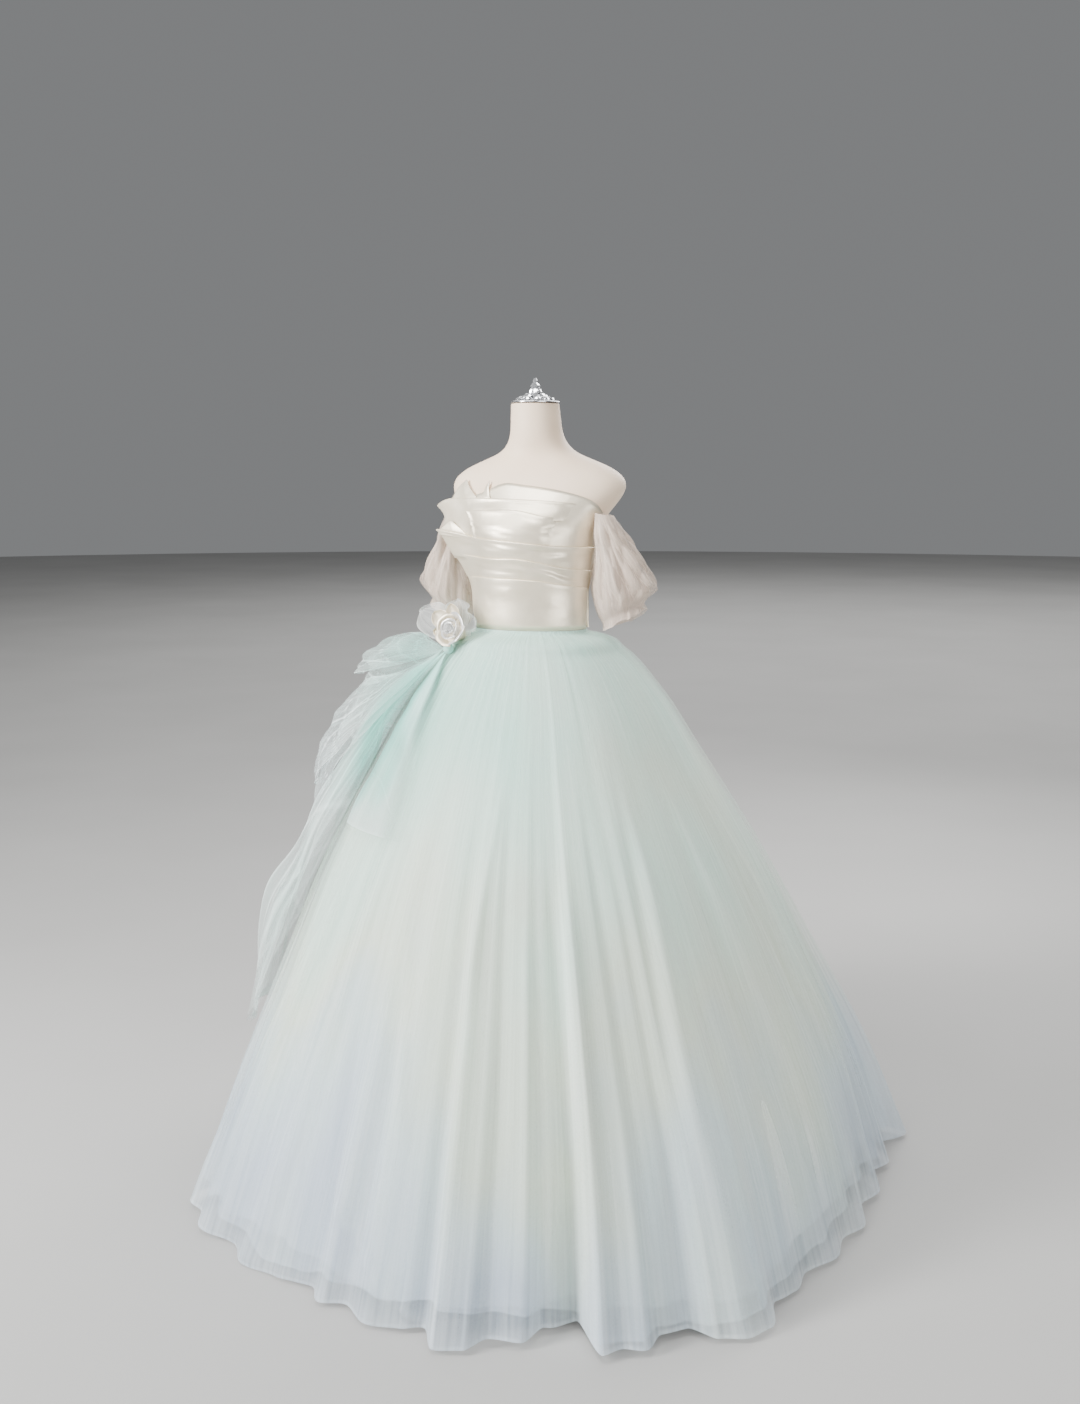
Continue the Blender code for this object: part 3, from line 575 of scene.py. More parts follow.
# %% Satin material
def stretched_noise(tree, place, scale, detail):
    """Noise drawn out in one direction, by a scale for each one."""
    stretched = add_node(tree, "Mapping", {"Vector": place, "Scale": scale})
    return add_node(tree, "TexNoise", {"Vector": stretched, "Scale": 1.0, "Detail": detail})


satin, tree, shader, place, slack = mottled(
    "ivory_duchess_satin",
    {"Scale": 26.0, "Detail": 3.0, "Distortion": 0.4},
    ((0.3, "#e6dac2"), (0.7, "#f1e6d0")),
)
# Satin threads are 0.15 mm apart. The floats are drawn 1.5 mm apart, as short level strokes.
THREAD_MM = 1.5
floats = stretched_noise(tree, place, (90.0, 90.0, 1000 / THREAD_MM), 2.0)
fine = add_node(tree, "Bump", {"Height": floats, "Strength": 0.06, "Distance": 0.0003})
wrinkles = {"Height": slack, "Strength": 0.22, "Distance": 0.004, "Normal": fine}
# The long floats throw back much of the light as a broad mirror would. Without this, white satin
# looks like plaster: its folds show as bright and dark bands only because of that share.
MIRROR = 0.48
feed(shader, {"Roughness": 0.37, "Metallic": MIRROR, "Specular IOR Level": 0.6})
feed(shader, {"Normal": add_node(tree, "Bump", wrinkles)})
print("satin ready")

# %% Tables of the bodice
WAIST = 1.1403
# angle, height
TOP_EDGE = (
    (-180, 1.335), (-140, 1.34), (-100, 1.352), (-72, 1.376), (-45, 1.398), (-27, 1.411),
    (-14, 1.427), (0, 1.424), (20, 1.415), (45, 1.398), (75, 1.37), (100, 1.352), (140, 1.34),
    (180, 1.335),
)
# angle, then the height of each band's upper edge
BAND_LINES = (
    (-81, 1.378, 1.373, 1.337, 1.289, 1.24),
    (-66, 1.394, 1.373, 1.33, 1.286, 1.241),
    (-45, 1.398, 1.373, 1.321, 1.282, 1.242),
    (-20, 1.398, 1.376, 1.318, 1.281, 1.242),
    (0, 1.396, 1.375, 1.314, 1.281, 1.241),
    (20, 1.393, 1.364, 1.309, 1.274, 1.238),
    (40, 1.388, 1.362, 1.306, 1.265, 1.232),
    (70, 1.376, 1.356, 1.303, 1.259, 1.225),
    (99, 1.36, 1.345, 1.301, 1.253, 1.218),
)
# first and last angle, how far the end on the wearer's right stands out from the fold and from the
# foot, how far it turns back, and over how many degrees the other end melts into the panel
BAND_SPANS = (
    (-76, 45, 0.036, 0.058, 0.012, 18),
    (-46, 36, 0.0, 0.0, 0.005, 16),
    (-75, 96, 0.058, 0.036, 0.014, 0),
    (-77, 96, 0.036, 0.010, 0.008, 0),
    (-81, 96, 0.010, 0.0, 0.0, 0),
)
PANEL_OUT = 0.0018
EDGE_OUT = 0.0088
FOOT_OUT = 0.0038
ROLL = 0.0016
OVERLAP = 0.008
# Slack in the satin: angle, height, length round, height of the crease, how far out, tilt
SLACK = (
    (-38, 1.33, 15, 0.006, 0.0016, 0.0006),
    (-6, 1.322, 13, 0.007, -0.0018, -0.0005),
    (14, 1.35, 12, 0.01, 0.0018, -0.0009),
    (30, 1.334, 16, 0.008, -0.0016, 0.0005),
    (-20, 1.3, 16, 0.008, 0.0018, -0.0004),
    (12, 1.296, 13, 0.007, -0.0014, 0.0007),
    (38, 1.286, 12, 0.006, 0.0014, 0.0004),
    (-30, 1.262, 14, 0.006, -0.0014, 0.0003),
    (6, 1.258, 18, 0.008, 0.0016, -0.0004),
    (34, 1.246, 13, 0.006, 0.0015, -0.0007),
    (60, 1.28, 12, 0.009, -0.0014, 0.0003),
    (-12, 1.216, 16, 0.01, 0.0012, 0.0002),
    (22, 1.19, 9, 0.016, -0.0014, 0.0008),
    (-40, 1.186, 10, 0.014, 0.0012, -0.0004),
    (48, 1.172, 10, 0.012, 0.0012, 0.0003),
    (4, 1.386, 14, 0.004, 0.0012, -0.0002),
    (-52, 1.384, 10, 0.004, -0.0012, 0.0002),
    (120, 1.25, 22, 0.02, 0.0012, 0.0002),
    (200, 1.22, 25, 0.022, 0.0012, -0.0003),
    (240, 1.29, 20, 0.018, -0.0012, 0.0003),
)
# Long pulls in the bands: angle and height of one end, of the other, half width, how far out
PULLS = (
    (-72, 1.358, -20, 1.338, 0.004, 0.0022),
    (-66, 1.348, 2, 1.33, 0.0035, -0.0018),
    (-30, 1.344, 30, 1.322, 0.004, 0.002),
    (-5, 1.336, 52, 1.338, 0.0045, -0.0018),
    (20, 1.352, 70, 1.33, 0.005, 0.0016),
    (-68, 1.316, -22, 1.296, 0.0035, 0.0024),
    (-60, 1.306, -8, 1.3, 0.003, -0.002),
    (-25, 1.308, 24, 1.29, 0.004, 0.0022),
    (5, 1.302, 60, 1.284, 0.004, -0.002),
    (30, 1.292, 80, 1.272, 0.0045, 0.0018),
    (-64, 1.274, -10, 1.258, 0.0035, 0.0022),
    (-40, 1.262, 14, 1.252, 0.003, -0.0018),
    (-4, 1.266, 44, 1.246, 0.0038, 0.0022),
    (30, 1.254, 78, 1.236, 0.0035, -0.0016),
    (-50, 1.226, 8, 1.214, 0.006, 0.0012),
    (12, 1.204, 50, 1.19, 0.005, 0.0014),
    (24, 1.176, 62, 1.182, 0.0045, -0.0012),
    (-48, 1.168, -12, 1.16, 0.005, 0.001),
)


def slack_out(angle, height):
    """How far the listed soft creases lift the satin."""
    total = 0.0
    for first, start, last, end, half, out in PULLS:
        share = (angle - first) / (last - first)
        rise = height - start - (end - start) * share
        ends = fade(share, -0.05, 0.35) * fade(share, 1.05, 0.65)
        total = total + out * np.exp(-((rise / half) ** 2)) * ends
    for middle, level, long, tall, out, tilt in SLACK:
        off = off_by(angle, middle)
        rise = height - level - tilt * off
        total = total + 1.5 * out * np.exp(-((off / long) ** 2) - (rise / tall) ** 2)
    return total


def top_height(angle):
    """The bodice's upper edge."""
    return curve(TOP_EDGE, 1, off_by(angle, 0.0))


def band_edges(band, angle):
    """The heights of a band's folded edge and of its foot, behind the next band's edge."""
    upper = curve(BAND_LINES, band + 1, angle)
    if band == len(BAND_SPANS) - 1:
        return upper, np.full_like(upper, WAIST + 0.003)
    foot = curve(BAND_LINES, band + 2, angle)
    if band == 0:
        # Beyond the second band's end the first one runs on down behind the third
        foot = foot + (curve(BAND_LINES, 3, angle) - foot) * fade(angle, -39, -47)
    return upper, foot - OVERLAP


print("bands:", len(BAND_SPANS), "- soft creases placed by hand:", len(SLACK) + len(PULLS))

# %% Panels of the bodice
# node, first and last angle, columns, cut width and length, how much of the slack shows
PANELS = (
    ("bodice_front", -100, 100, 101, (0.47, 0.30), 0.35),
    ("bodice_back_left", 100.15, 179.85, 41, (0.18, 0.22), 1.0),
    ("bodice_back_right", 180.15, 259.85, 41, (0.18, 0.22), 1.0),
)
PANEL_ROWS = 44
METRES_ROUND = 0.84
for node, first, last, count, cut, loose in PANELS:
    angle = np.linspace(first, last, count)[:, None]
    share = np.linspace(0, 1, PANEL_ROWS)[None, :]
    top = top_height(angle)
    height = top + (WAIST - top) * share
    # The edge is turned in and stitched, so the cloth is a little thicker there
    welt = 0.0007 * np.exp(-(((height - top + 0.004) / 0.003) ** 2))
    out = PANEL_OUT + welt + loose * slack_out(angle, height) * fade(share, 0.0, 0.1)
    size = ((last - first) / 360 * METRES_ROUND, 0.26)
    points = on_form(angle, height, out)
    panel = cloth(f"{node}_satin", points, satin, "satin", [node], thick=0.0012, size=size)
    print(panel.name, "area", round(cloth_area(panel), 3), "m2")

# %% Draped bands
FACE_ROWS = 12
ROLL_ROWS = 6
BACK_ROWS = 4
BACK_DEEP = 0.009
TURN_COLUMNS = 7


def band_out(band, angle, share):
    """How far a band's face lies out from the form, from its folded edge to its foot."""
    first, last, flare, below, _, melts = BAND_SPANS[band]
    # The end on the wearer's right stands out from this band's fold down to the next one's
    end_out = flare + (below - flare) * share**0.8
    if band == 0:
        end_out = end_out - 0.012 * np.sin(pi * share)
    free_end = end_out * np.maximum(0.0, (-45 - angle) / (-45 - first)) ** 2
    # The fold stands out as a lip. The face falls back below it, then swells towards the next fold.
    lip = (EDGE_OUT + (0.0016 if band == 1 else 0.0) - FOOT_OUT) * (1 - share) ** 4
    out = FOOT_OUT + lip + 0.0024 * np.sin(pi * share**1.5) + free_end
    if band == 1:
        # Its upright end is folded too
        out = out + 0.0030 * np.exp(-(((angle - first) / 2.2) ** 2))
    if melts:
        return PANEL_OUT - 0.0016 + (out - PANEL_OUT + 0.0016) * fade(angle, last, last - melts)
    # Next to the side seam it is sewn flat
    return FOOT_OUT + (out - FOOT_OUT) * (0.75 + 0.25 * fade(angle, last + 1, last - 12))


def band_grid(band):
    """A band's grid: down its face from the fold, with the roll and the back before it."""
    first, last, _, _, turn_back, _ = BAND_SPANS[band]
    angle = np.linspace(first, last, 81)[:, None]
    upper, foot = band_edges(band, angle)
    edge = band_out(band, angle, 0.0)
    drop = BACK_DEEP * np.arange(BACK_ROWS, 0, -1) / BACK_ROWS
    turn = pi * np.arange(ROLL_ROWS + 1) / ROLL_ROWS
    share = np.arange(1, FACE_ROWS + 1) / FACE_ROWS
    level = upper - ROLL + (foot - upper + ROLL) * share
    crease = slack_out(angle, level) * np.sin(pi * np.minimum(1.0, share * 1.15 + 0.05))
    heights = np.hstack([upper - ROLL - drop, upper - ROLL + ROLL * np.sin(turn), level])
    back, roll = edge - 2 * ROLL - 0.06 * drop, edge - ROLL - ROLL * np.cos(turn)
    points = on_form(angle, heights, np.hstack([back, roll, band_out(band, angle, share) + crease]))
    if turn_back:
        # The free end turns back behind itself, so it ends in a round nose and not in a cut edge
        end = points[0]
        away = end - points[3]
        away /= np.linalg.norm(away, axis=1)[:, None]
        inward = np.cross(away, [0.0, 0.0, 1.0])
        inward *= np.sign((-(end * [1, 1, 0]) * inward).sum(1))[:, None]
        bend = turn_back * 0.35
        turn = pi * np.arange(1, TURN_COLUMNS + 1)[:, None, None] / TURN_COLUMNS
        tail = end + away * bend * np.sin(turn) + inward * bend * (1 - np.cos(turn))
        points = np.concatenate([tail[-1:] - away * turn_back, tail[::-1], points])
    return points


for band, (first, last, *_) in enumerate(BAND_SPANS):
    points = band_grid(band)
    name, size = f"band_{band + 1}_satin", ((last - first) / 360 * METRES_ROUND, 0.09)
    node = f"bodice_pleat_{band + 1}"
    strip = cloth(name, points, satin, "satin", [node], thick=0.0008, size=size)
    wide = float(np.linalg.norm(np.diff(points[:, 12], axis=0), axis=1).sum())
    cut = (round(wide, 2), round(cloth_area(strip) / wide, 3))
    print(name, "cut", *cut, "m")

# %% Side binding
# The bands end under a narrow bound edge at the wearer's left, which shows as a thin bright line.
SEAM_ANGLE = 96.5
CORD = 0.0027
height = np.linspace(float(top_height(SEAM_ANGLE)) - 0.001, WAIST + 0.002, 45)[None, :]
turn = np.arange(12)[:, None] * pi / 6
wander = 0.5 * np.sin(60 * height) + 0.3 * np.sin(170 * height)
angle = SEAM_ANGLE + wander + np.degrees(CORD * np.sin(turn) / 0.13)
points = on_form(angle, height, 0.0060 + CORD * np.cos(turn))
binding = cloth("bodice_side_binding", points, satin, "satin", ring=True, size=(0.013, 0.22))
print("binding area", round(cloth_area(binding, 1) * 1e4, 1), "cm2")

# %% Folded points behind the bands
# sides and tip as angles, foot and tip heights, the band in front
POINTS = (
    ("bodice_point_1", -64, -30, -45, 1.388, 1.434, 0),
    ("bodice_point_2", -29.5, -22, -24, 1.391, 1.432, 0),
    ("bodice_point_3", -79, -56, -66, 1.324, 1.353, 2),
)
for node, first, last, tip, foot, top, band in POINTS:
    side = np.linspace(-1, 1, 25)[:, None]
    rise = np.linspace(1, 0, 13)[None, :]
    width = np.where(side < 0, tip - first, last - tip)
    angle = np.maximum(tip + side * width * (1 - 0.97 * rise), -75.0)
    height = foot + (top - foot) * rise + 0 * side
    upper, lower = band_edges(band, angle)
    below = np.clip((upper - height) / (upper - lower), 0, 1)
    # The two halves meet in a soft ridge, as a square of cloth folded to a point does
    ridge = 0.0016 * (1 - np.abs(side)) ** 0.8 * np.sin(pi * np.clip(rise, 0.02, 1) * 0.9)
    points = on_form(angle, height, band_out(band, angle, below) - 0.0036 + ridge)
    size = (0.05, 0.05)
    fold = cloth(f"{node}_satin", points, satin, "satin", [node], thick=0.0009, size=size)
    wide = (last - first) / 360 * 0.86
    cut = (round(wide, 3), round(cloth_area(fold) / wide, 3))
    print(fold.name, "cut", *cut, "m")

# %% [markdown]
# ## The skirt
#
# A tulle skirt is many metres of net, gathered at the waist and worn over a stiffer underskirt. One
# solid white cone would look like plaster. Three surfaces are built instead: an opaque underskirt,
# and two sheer layers outside it, each with its own folds, so that light and colour build up in
# depth and the hem ends in thin see-through edges.
#
# Net seen at a slant hides more, and where it turns back in a fold two layers lie over each other.
# A material may not look at the camera here, so this is worked out from the shape: each point gets
# a number that grows on steep sides of folds, on sharp crests and at the cut edge.

# %% Tables of the skirt
SKIRT_TOP = 1.1395
# height, half width, front, back, how far the middle lies to the wearer's left
SKIRT = (
    (1.1395, 0.1158, 0.1418, 0.0233, 0.0),
    (1.133, 0.119, 0.145, 0.0275, 0.0),
    (1.127, 0.142, 0.168, 0.064, 0.0),
    (1.093, 0.188, 0.205, 0.145, 0.0),
    (1.021, 0.248, 0.255, 0.225, 0.0),
    (0.885, 0.333, 0.335, 0.33, 0.0),
    (0.68, 0.452, 0.455, 0.46, 0.006),
    (0.484, 0.548, 0.552, 0.565, 0.014),
    (0.236, 0.666, 0.67, 0.695, 0.022),
    (0.012, 0.755, 0.75, 0.785, 0.02),
)
# Crests and troughs round the hem: angle, how far out. The drop at 22 degrees is the sharp fold
# that hangs in front, and the crest at 110 is the thin corner at the wearer's left.
HEM_WAVES = (
    (-60, -0.012), (-55.5, -0.034), (-51, 0.012), (-47.5, -0.004), (-43, 0.014), (-36.5, -0.026),
    (-31, 0.0), (-25, -0.012), (-18.5, -0.032), (-15, 0.0), (-11.5, -0.02), (-6.5, 0.014),
    (-2, 0.006), (1.0, -0.01), (3.5, 0.044), (7.0, 0.036), (9.8, 0.002), (14, 0.01), (17, -0.04),
    (21.4, -0.054), (23.8, 0.058), (26.5, 0.042), (29, 0.048), (32, 0.006), (35.5, 0.004),
    (38.5, 0.044), (42, 0.06), (45.5, 0.05), (50, -0.012), (54, -0.016), (59, -0.047), (65, -0.038),
    (71, -0.064), (76, -0.05), (82, -0.082), (88, -0.058), (93.5, -0.08), (99, -0.034),
    (105, -0.052), (110, 0.028), (114.5, -0.04), (121, 0.0), (127, -0.04), (133, 0.03),
    (138, -0.02), (144, 0.01), (149, -0.045), (156, 0.04), (161, -0.01), (167, 0.015), (174, -0.04),
    (179, 0.035), (184, -0.02), (190, 0.02), (195, -0.04), (201, 0.04), (207, -0.015), (213, 0.0),
    (219, -0.045), (224, 0.03), (230, -0.02), (236, 0.01), (241, -0.05), (247, 0.02), (252, -0.03),
    (258, -0.02), (264, -0.06), (269, -0.035), (275, -0.075), (280, -0.05), (286, -0.085),
    (291, -0.048), (296, -0.08),
)
# Long creases: angle and height of the upper end, of the lower end, half width in
# degrees, and how far out (a trough is negative)
CREASES = (
    (-0.5, 0.82, 0.5, 0.1, 1.6, -0.0075),
    (3.5, 0.74, 3.0, 0.2, 1.8, 0.007),
    (20.2, 0.74, 20.8, 0.25, 1.5, -0.009),
    (23.4, 0.7, 23.4, 0.3, 1.6, 0.008),
    (-21.5, 0.46, -16.5, 0.05, 1.5, -0.008),
    (-28.0, 0.82, -33.0, 0.08, 1.7, -0.0085),
    (-25.5, 0.76, -29.5, 0.15, 1.6, 0.006),
    (-40.0, 0.74, -51.0, 0.15, 1.9, -0.008),
    (-37.0, 0.69, -47.5, 0.25, 1.7, 0.0065),
    (42.5, 0.86, 36.0, 0.05, 1.6, -0.008),
    (45.0, 0.79, 40.0, 0.3, 1.6, 0.006),
    (46.0, 0.82, 52.0, 0.1, 1.5, -0.0075),
    (58.5, 0.89, 65.5, 0.1, 1.8, -0.0085),
    (62.0, 0.79, 68.0, 0.15, 1.6, 0.006),
    (73.0, 0.87, 88.0, 0.12, 2.0, -0.008),
    (80.0, 0.79, 92.0, 0.2, 1.8, 0.0065),
    (14.0, 0.64, 14.2, 0.2, 1.4, 0.0055),
    (9.0, 0.82, 10.0, 0.3, 1.2, -0.0045),
    (6.0, 0.87, 2.0, 0.5, 1.2, 0.0045),
    (-13.0, 0.6, -7.0, 0.3, 1.3, 0.005),
    (-11.5, 0.46, -10.0, 0.12, 1.4, -0.006),
    (30.5, 0.82, 31.5, 0.1, 1.4, -0.006),
    (34.5, 0.74, 34.0, 0.2, 1.3, 0.0045),
    (-17.0, 0.18, 1.0, 0.014, 1.0, 0.007),
    (100.0, 0.74, 106.0, 0.08, 2.0, -0.008),
    (117.0, 0.79, 120.0, 0.1, 2.2, 0.007),
    (128.0, 0.82, 127.0, 0.06, 2.0, -0.0085),
    (141.0, 0.74, 139.0, 0.1, 1.8, -0.007),
    (152.0, 0.8, 149.0, 0.08, 1.9, -0.0085),
    (163.0, 0.74, 161.0, 0.12, 1.8, 0.0065),
    (172.0, 0.84, 174.0, 0.06, 2.0, -0.0085),
    (186.0, 0.76, 185.0, 0.1, 1.7, 0.006),
    (197.0, 0.82, 195.0, 0.07, 2.0, -0.0085),
    (209.0, 0.74, 207.0, 0.12, 1.8, 0.006),
    (217.0, 0.82, 219.0, 0.06, 2.0, -0.0085),
    (232.0, 0.74, 230.0, 0.1, 1.8, -0.0065),
    (243.0, 0.8, 241.0, 0.08, 2.0, -0.0085),
    (256.0, 0.74, 253.0, 0.12, 1.8, 0.006),
    (266.0, 0.82, 264.0, 0.06, 2.0, -0.008),
    (279.0, 0.76, 276.0, 0.1, 1.8, -0.007),
    (289.0, 0.74, 287.0, 0.1, 1.8, 0.006),
)
FOLD_GROWTH = 3.1


def fold_growth(height):
    """How far the hem's folds have grown at a height: 0 at the waist, 1 at the hem."""
    spread = np.maximum(0.0, curve(SKIRT, 1, height) - SKIRT[0][1]) / 0.64
    return spread**FOLD_GROWTH


def placed_folds(rows, angle, height, beyond, start, end, profile):
    """Long folds, given one by one. They run on a share beyond their ends, where they fade."""
    total = 0.0
    for top_angle, top, foot_angle, foot, half, out in rows:
        share = (top - height) / (top - foot)
        middle = top_angle + (foot_angle - top_angle) * np.clip(share, -beyond, 1 + beyond)
        ends = fade(share, *start) * fade(share, *end)
        total = total + out * profile(off_by(angle, middle) / half) * ends
    return total


def crease_out(angle, height):
    """The listed long creases of the skirt, round across."""
    ends = ((-0.12, 0.25), (1.15, 0.85))
    return placed_folds(CREASES, angle, height, 0.2, *ends, lambda off: 0.8 * np.exp(-(off**2)))


def wide_waves(angle):
    """The hem's folds with the narrow ones evened out."""
    return sum(waves(HEM_WAVES, angle + off) for off in (-9, -6, -3, 0, 3, 6, 9)) / 7


def on_skirt(angle, height, out=0.0, depth=1.0, rise=1.0):
    """Points of the skirt, moved out: level with a rise of 0, its folds at a share of depth."""
    angle, height, out = np.broadcast_arrays(angle, height, out)
    turn = np.radians(angle)
    half, front, back, to_left = (curve(SKIRT, column, height) for column in (1, 2, 3, 4))
    step = 0.002
    spread = (curve(SKIRT, 1, height - step) - curve(SKIRT, 1, height + step)) / (2 * step)
    level = np.clip((height - 0.012) / 0.5, 0.0, 1.0)
    wide = wide_waves(angle)
    out = out + fold_growth(height) * (wide + depth * (waves(HEM_WAVES, angle) - wide))
    normal = np.stack([np.sin(turn), -np.cos(turn), spread * level * rise], -1)
    normal /= np.linalg.norm(normal, axis=-1)[..., None]
    ring = np.stack([half * np.sin(turn), -(front + back) / 2 * np.cos(turn), 0 * turn], -1)
    middle = np.stack([to_left, (back - front) / 2, height], -1)
    return middle + ring + normal * out[..., None]


print("hem folds:", len(HEM_WAVES), "rows, long creases:", len(CREASES))

# %% [markdown]
# ### Tulle
#
# Nylon tulle is a net of six-sided meshes about 1.2 mm wide. From a few steps away the net itself
# can't be seen, only a soft veil with streaks where the threads bunch up. The material mixes those
# streaks into how much it hides. Its colour runs with the height, because the inner layers are
# dyed: mint at the waist, ivory in the middle, a cool white at the hem.


# %% Tulle material
def tulle(name, stops, streak_mm, sheer=True, centre=None, reach=1.14, crowd=0.22, patch=None):
    """Net coloured by height, or by distance from a centre, over a reach.

    crowd says how much its threads bunch up. patch is a place, a radius and a colour that the dye
    took on there.
    """
    material, tree, shader, place = new_material(name)
    own = add_node(tree, "UVMap", uv_map="cloth")
    if centre:
        gap = add_node(tree, "VectorMath", {0: place, 1: centre}, operation="DISTANCE")
        measure = gap.outputs["Value"]
    else:
        measure = add_node(tree, "SeparateXYZ", {"Vector": place}).outputs["Z"]
    streaks = stretched_noise(tree, own, (1000 / streak_mm, 2.2, 1.0), 3.0)
    # The dye ran in long patches
    clouds = stretched_noise(tree, place, (4.2, 4.2, 1.5), 2.0)
    middle = {"From Min": 0.3, "From Max": 0.7}
    shift = {"Value": clouds, **middle, "To Min": -0.24 * reach, "To Max": 0.24 * reach}
    wander = add_node(tree, "MapRange", shift)
    shifted = add_node(tree, "Math", {0: measure, 1: wander}, operation="ADD")
    share = add_node(tree, "MapRange", {"Value": shifted, "From Max": reach})
    dye = add_node(tree, "ValToRGB", {"Fac": share}, stops)
    # The bunched threads are lighter than the open net, and whole breadths differ a little in tone
    breadths = stretched_noise(tree, own, (90 / streak_mm, 0.9, 1.0), 2.0)
    both = add_node(tree, "Math", {0: streaks, 1: breadths}, operation="ADD")
    light = {"Value": both, "From Min": 0.8, "From Max": 1.25, "To Max": crowd}
    bunch = add_node(tree, "MapRange", light)
    threads = {0: bunch, 6: dye, 7: linear("#f2f3ee")}
    colour = add_node(tree, "Mix", threads, data_type="RGBA").outputs[2]
    if patch:
        gap = add_node(tree, "VectorMath", {0: place, 1: patch[0]}, operation="DISTANCE")
        off = gap.outputs["Value"]
        ends = {"Value": off, "From Max": patch[1], "To Min": 0.85, "To Max": 0.0}
        strength = add_node(tree, "MapRange", ends, interpolation_type="SMOOTHSTEP")
        stain = {0: strength, 6: colour, 7: linear(patch[2])}
        colour = add_node(tree, "Mix", stain, data_type="RGBA").outputs[2]
    if sheer:
        dense = add_node(tree, "Attribute", attribute_name="dense").outputs["Fac"]
        bunching = {"To Min": 1 - 0.9 * crowd, "To Max": 1 + 0.9 * crowd}
        thread = add_node(tree, "MapRange", {"Value": streaks, **middle, **bunching})
        # The net is drawn 5 mm wide, not 1.2, and faint: finer it would only flicker
        meshes = {"Vector": own, "Scale": 200.0}
        net = add_node(tree, "TexVoronoi", meshes, feature="DISTANCE_TO_EDGE")
        lines = {"Value": net, "From Max": 0.35, "To Min": 1.06, "To Max": 0.96}
        cell = add_node(tree, "MapRange", lines)
        once = add_node(tree, "Math", {0: dense, 1: thread}, operation="MULTIPLY")
        twice = add_node(tree, "Math", {0: once, 1: cell}, operation="MULTIPLY", use_clamp=True)
        feed(shader, {"Alpha": twice})
    bump = {"Height": streaks, "Strength": 0.4 * crowd, "Distance": 0.004}
    feed(shader, {"Base Color": colour, "Normal": add_node(tree, "Bump", bump)})
    feed(shader, {"Roughness": 0.85, "Specular IOR Level": 0.25})
    feed(shader, {"Sheen Weight": 0.25, "Sheen Roughness": 0.45})
    return material


OUTER_DYE = (
    (0.0, "#c0cedb"), (0.22, "#cfdce1"), (0.45, "#dae5da"), (0.72, "#d7eae0"), (0.9, "#d2ebe2"),
    (1.0, "#cbeae0"),
)
MIDDLE_DYE = (
    (0.0, "#c2d0df"), (0.25, "#cde0e1"), (0.45, "#dae5d4"), (0.68, "#d0e9de"), (0.88, "#c6e8dc"),
    (1.0, "#bbe6d9"),
)
INNER_DYE = (
    (0.0, "#cbd5e1"), (0.25, "#d6e2e1"), (0.5, "#e9eddf"), (0.75, "#e2eee2"), (0.92, "#d9eee3"),
    (1.0, "#d1ede2"),
)
# Below the knot the skirt is dyed mint too
KNOT_DYE = (tuple(float(v) for v in on_skirt(-35, 0.97)), 0.27, "#a9dccf")
outer_tulle = tulle("soft_nylon_tulle_outer", OUTER_DYE, 9.0, patch=KNOT_DYE)
middle_tulle = tulle("soft_nylon_tulle_middle", MIDDLE_DYE, 13.0, patch=KNOT_DYE)
inner_tulle = tulle("layered_tulle_over_lining", INNER_DYE, 16.0, sheer=False)
print("three tulles ready")


# %% Skirt layers
def gathers(angle, height, seed):
    """Gathers that start close together at the waist and run into fewer, wider ones."""
    down = SKIRT_TOP - height
    swing = 2.2 * np.sin(np.radians(angle * 3)) + 1.6 * np.sin(np.radians(angle * 7 + 40))
    drift = angle + swing * down
    fine = (0.0003 + 0.0003 * fade(down, 0.0, 0.06)) * fade(down, 0.35, 0.06)
    middling = 0.0010 * fade(down, 0.0, 0.2) * fade(down, 1.0, 0.3)
    broad = (0.0012 + 0.0064 * fade(down, 0.45, 1.1)) * fade(down, 0.02, 0.4)
    wide = 0.0060 * fade(down, 0.05, 0.6)
    narrow = uneven(angle, 200, seed) * fine + uneven(drift, 70, seed + 1) * middling
    return narrow + uneven(drift, 41, seed + 2) * broad + uneven(drift + 3, 17, seed + 3) * wide


def density(points, out, base):
    """How much each point of a sheer layer hides: more on steep sides, crests and the edge."""
    step = np.roll(points, -1, 0) - np.roll(points, 1, 0)
    along = np.maximum(np.linalg.norm(step[..., :2], axis=-1), 1e-6)
    radial = np.abs(np.roll(out, -1, 0) - np.roll(out, 1, 0))
    steep = 1 / np.sqrt(np.clip(1 - (radial / along) ** 2, 0.04, 1))
    bend = np.roll(out, -1, 0) + np.roll(out, 1, 0) - 2 * out
    crest = np.clip(-bend / (along / 2) ** 2 * 0.010, 0, 1.2)
    dense = np.clip(1 - (1 - base) ** (steep + crest), 0, 1)
    dense[:, -2:] = np.maximum(dense[:, -2:], 0.50)
    return dense


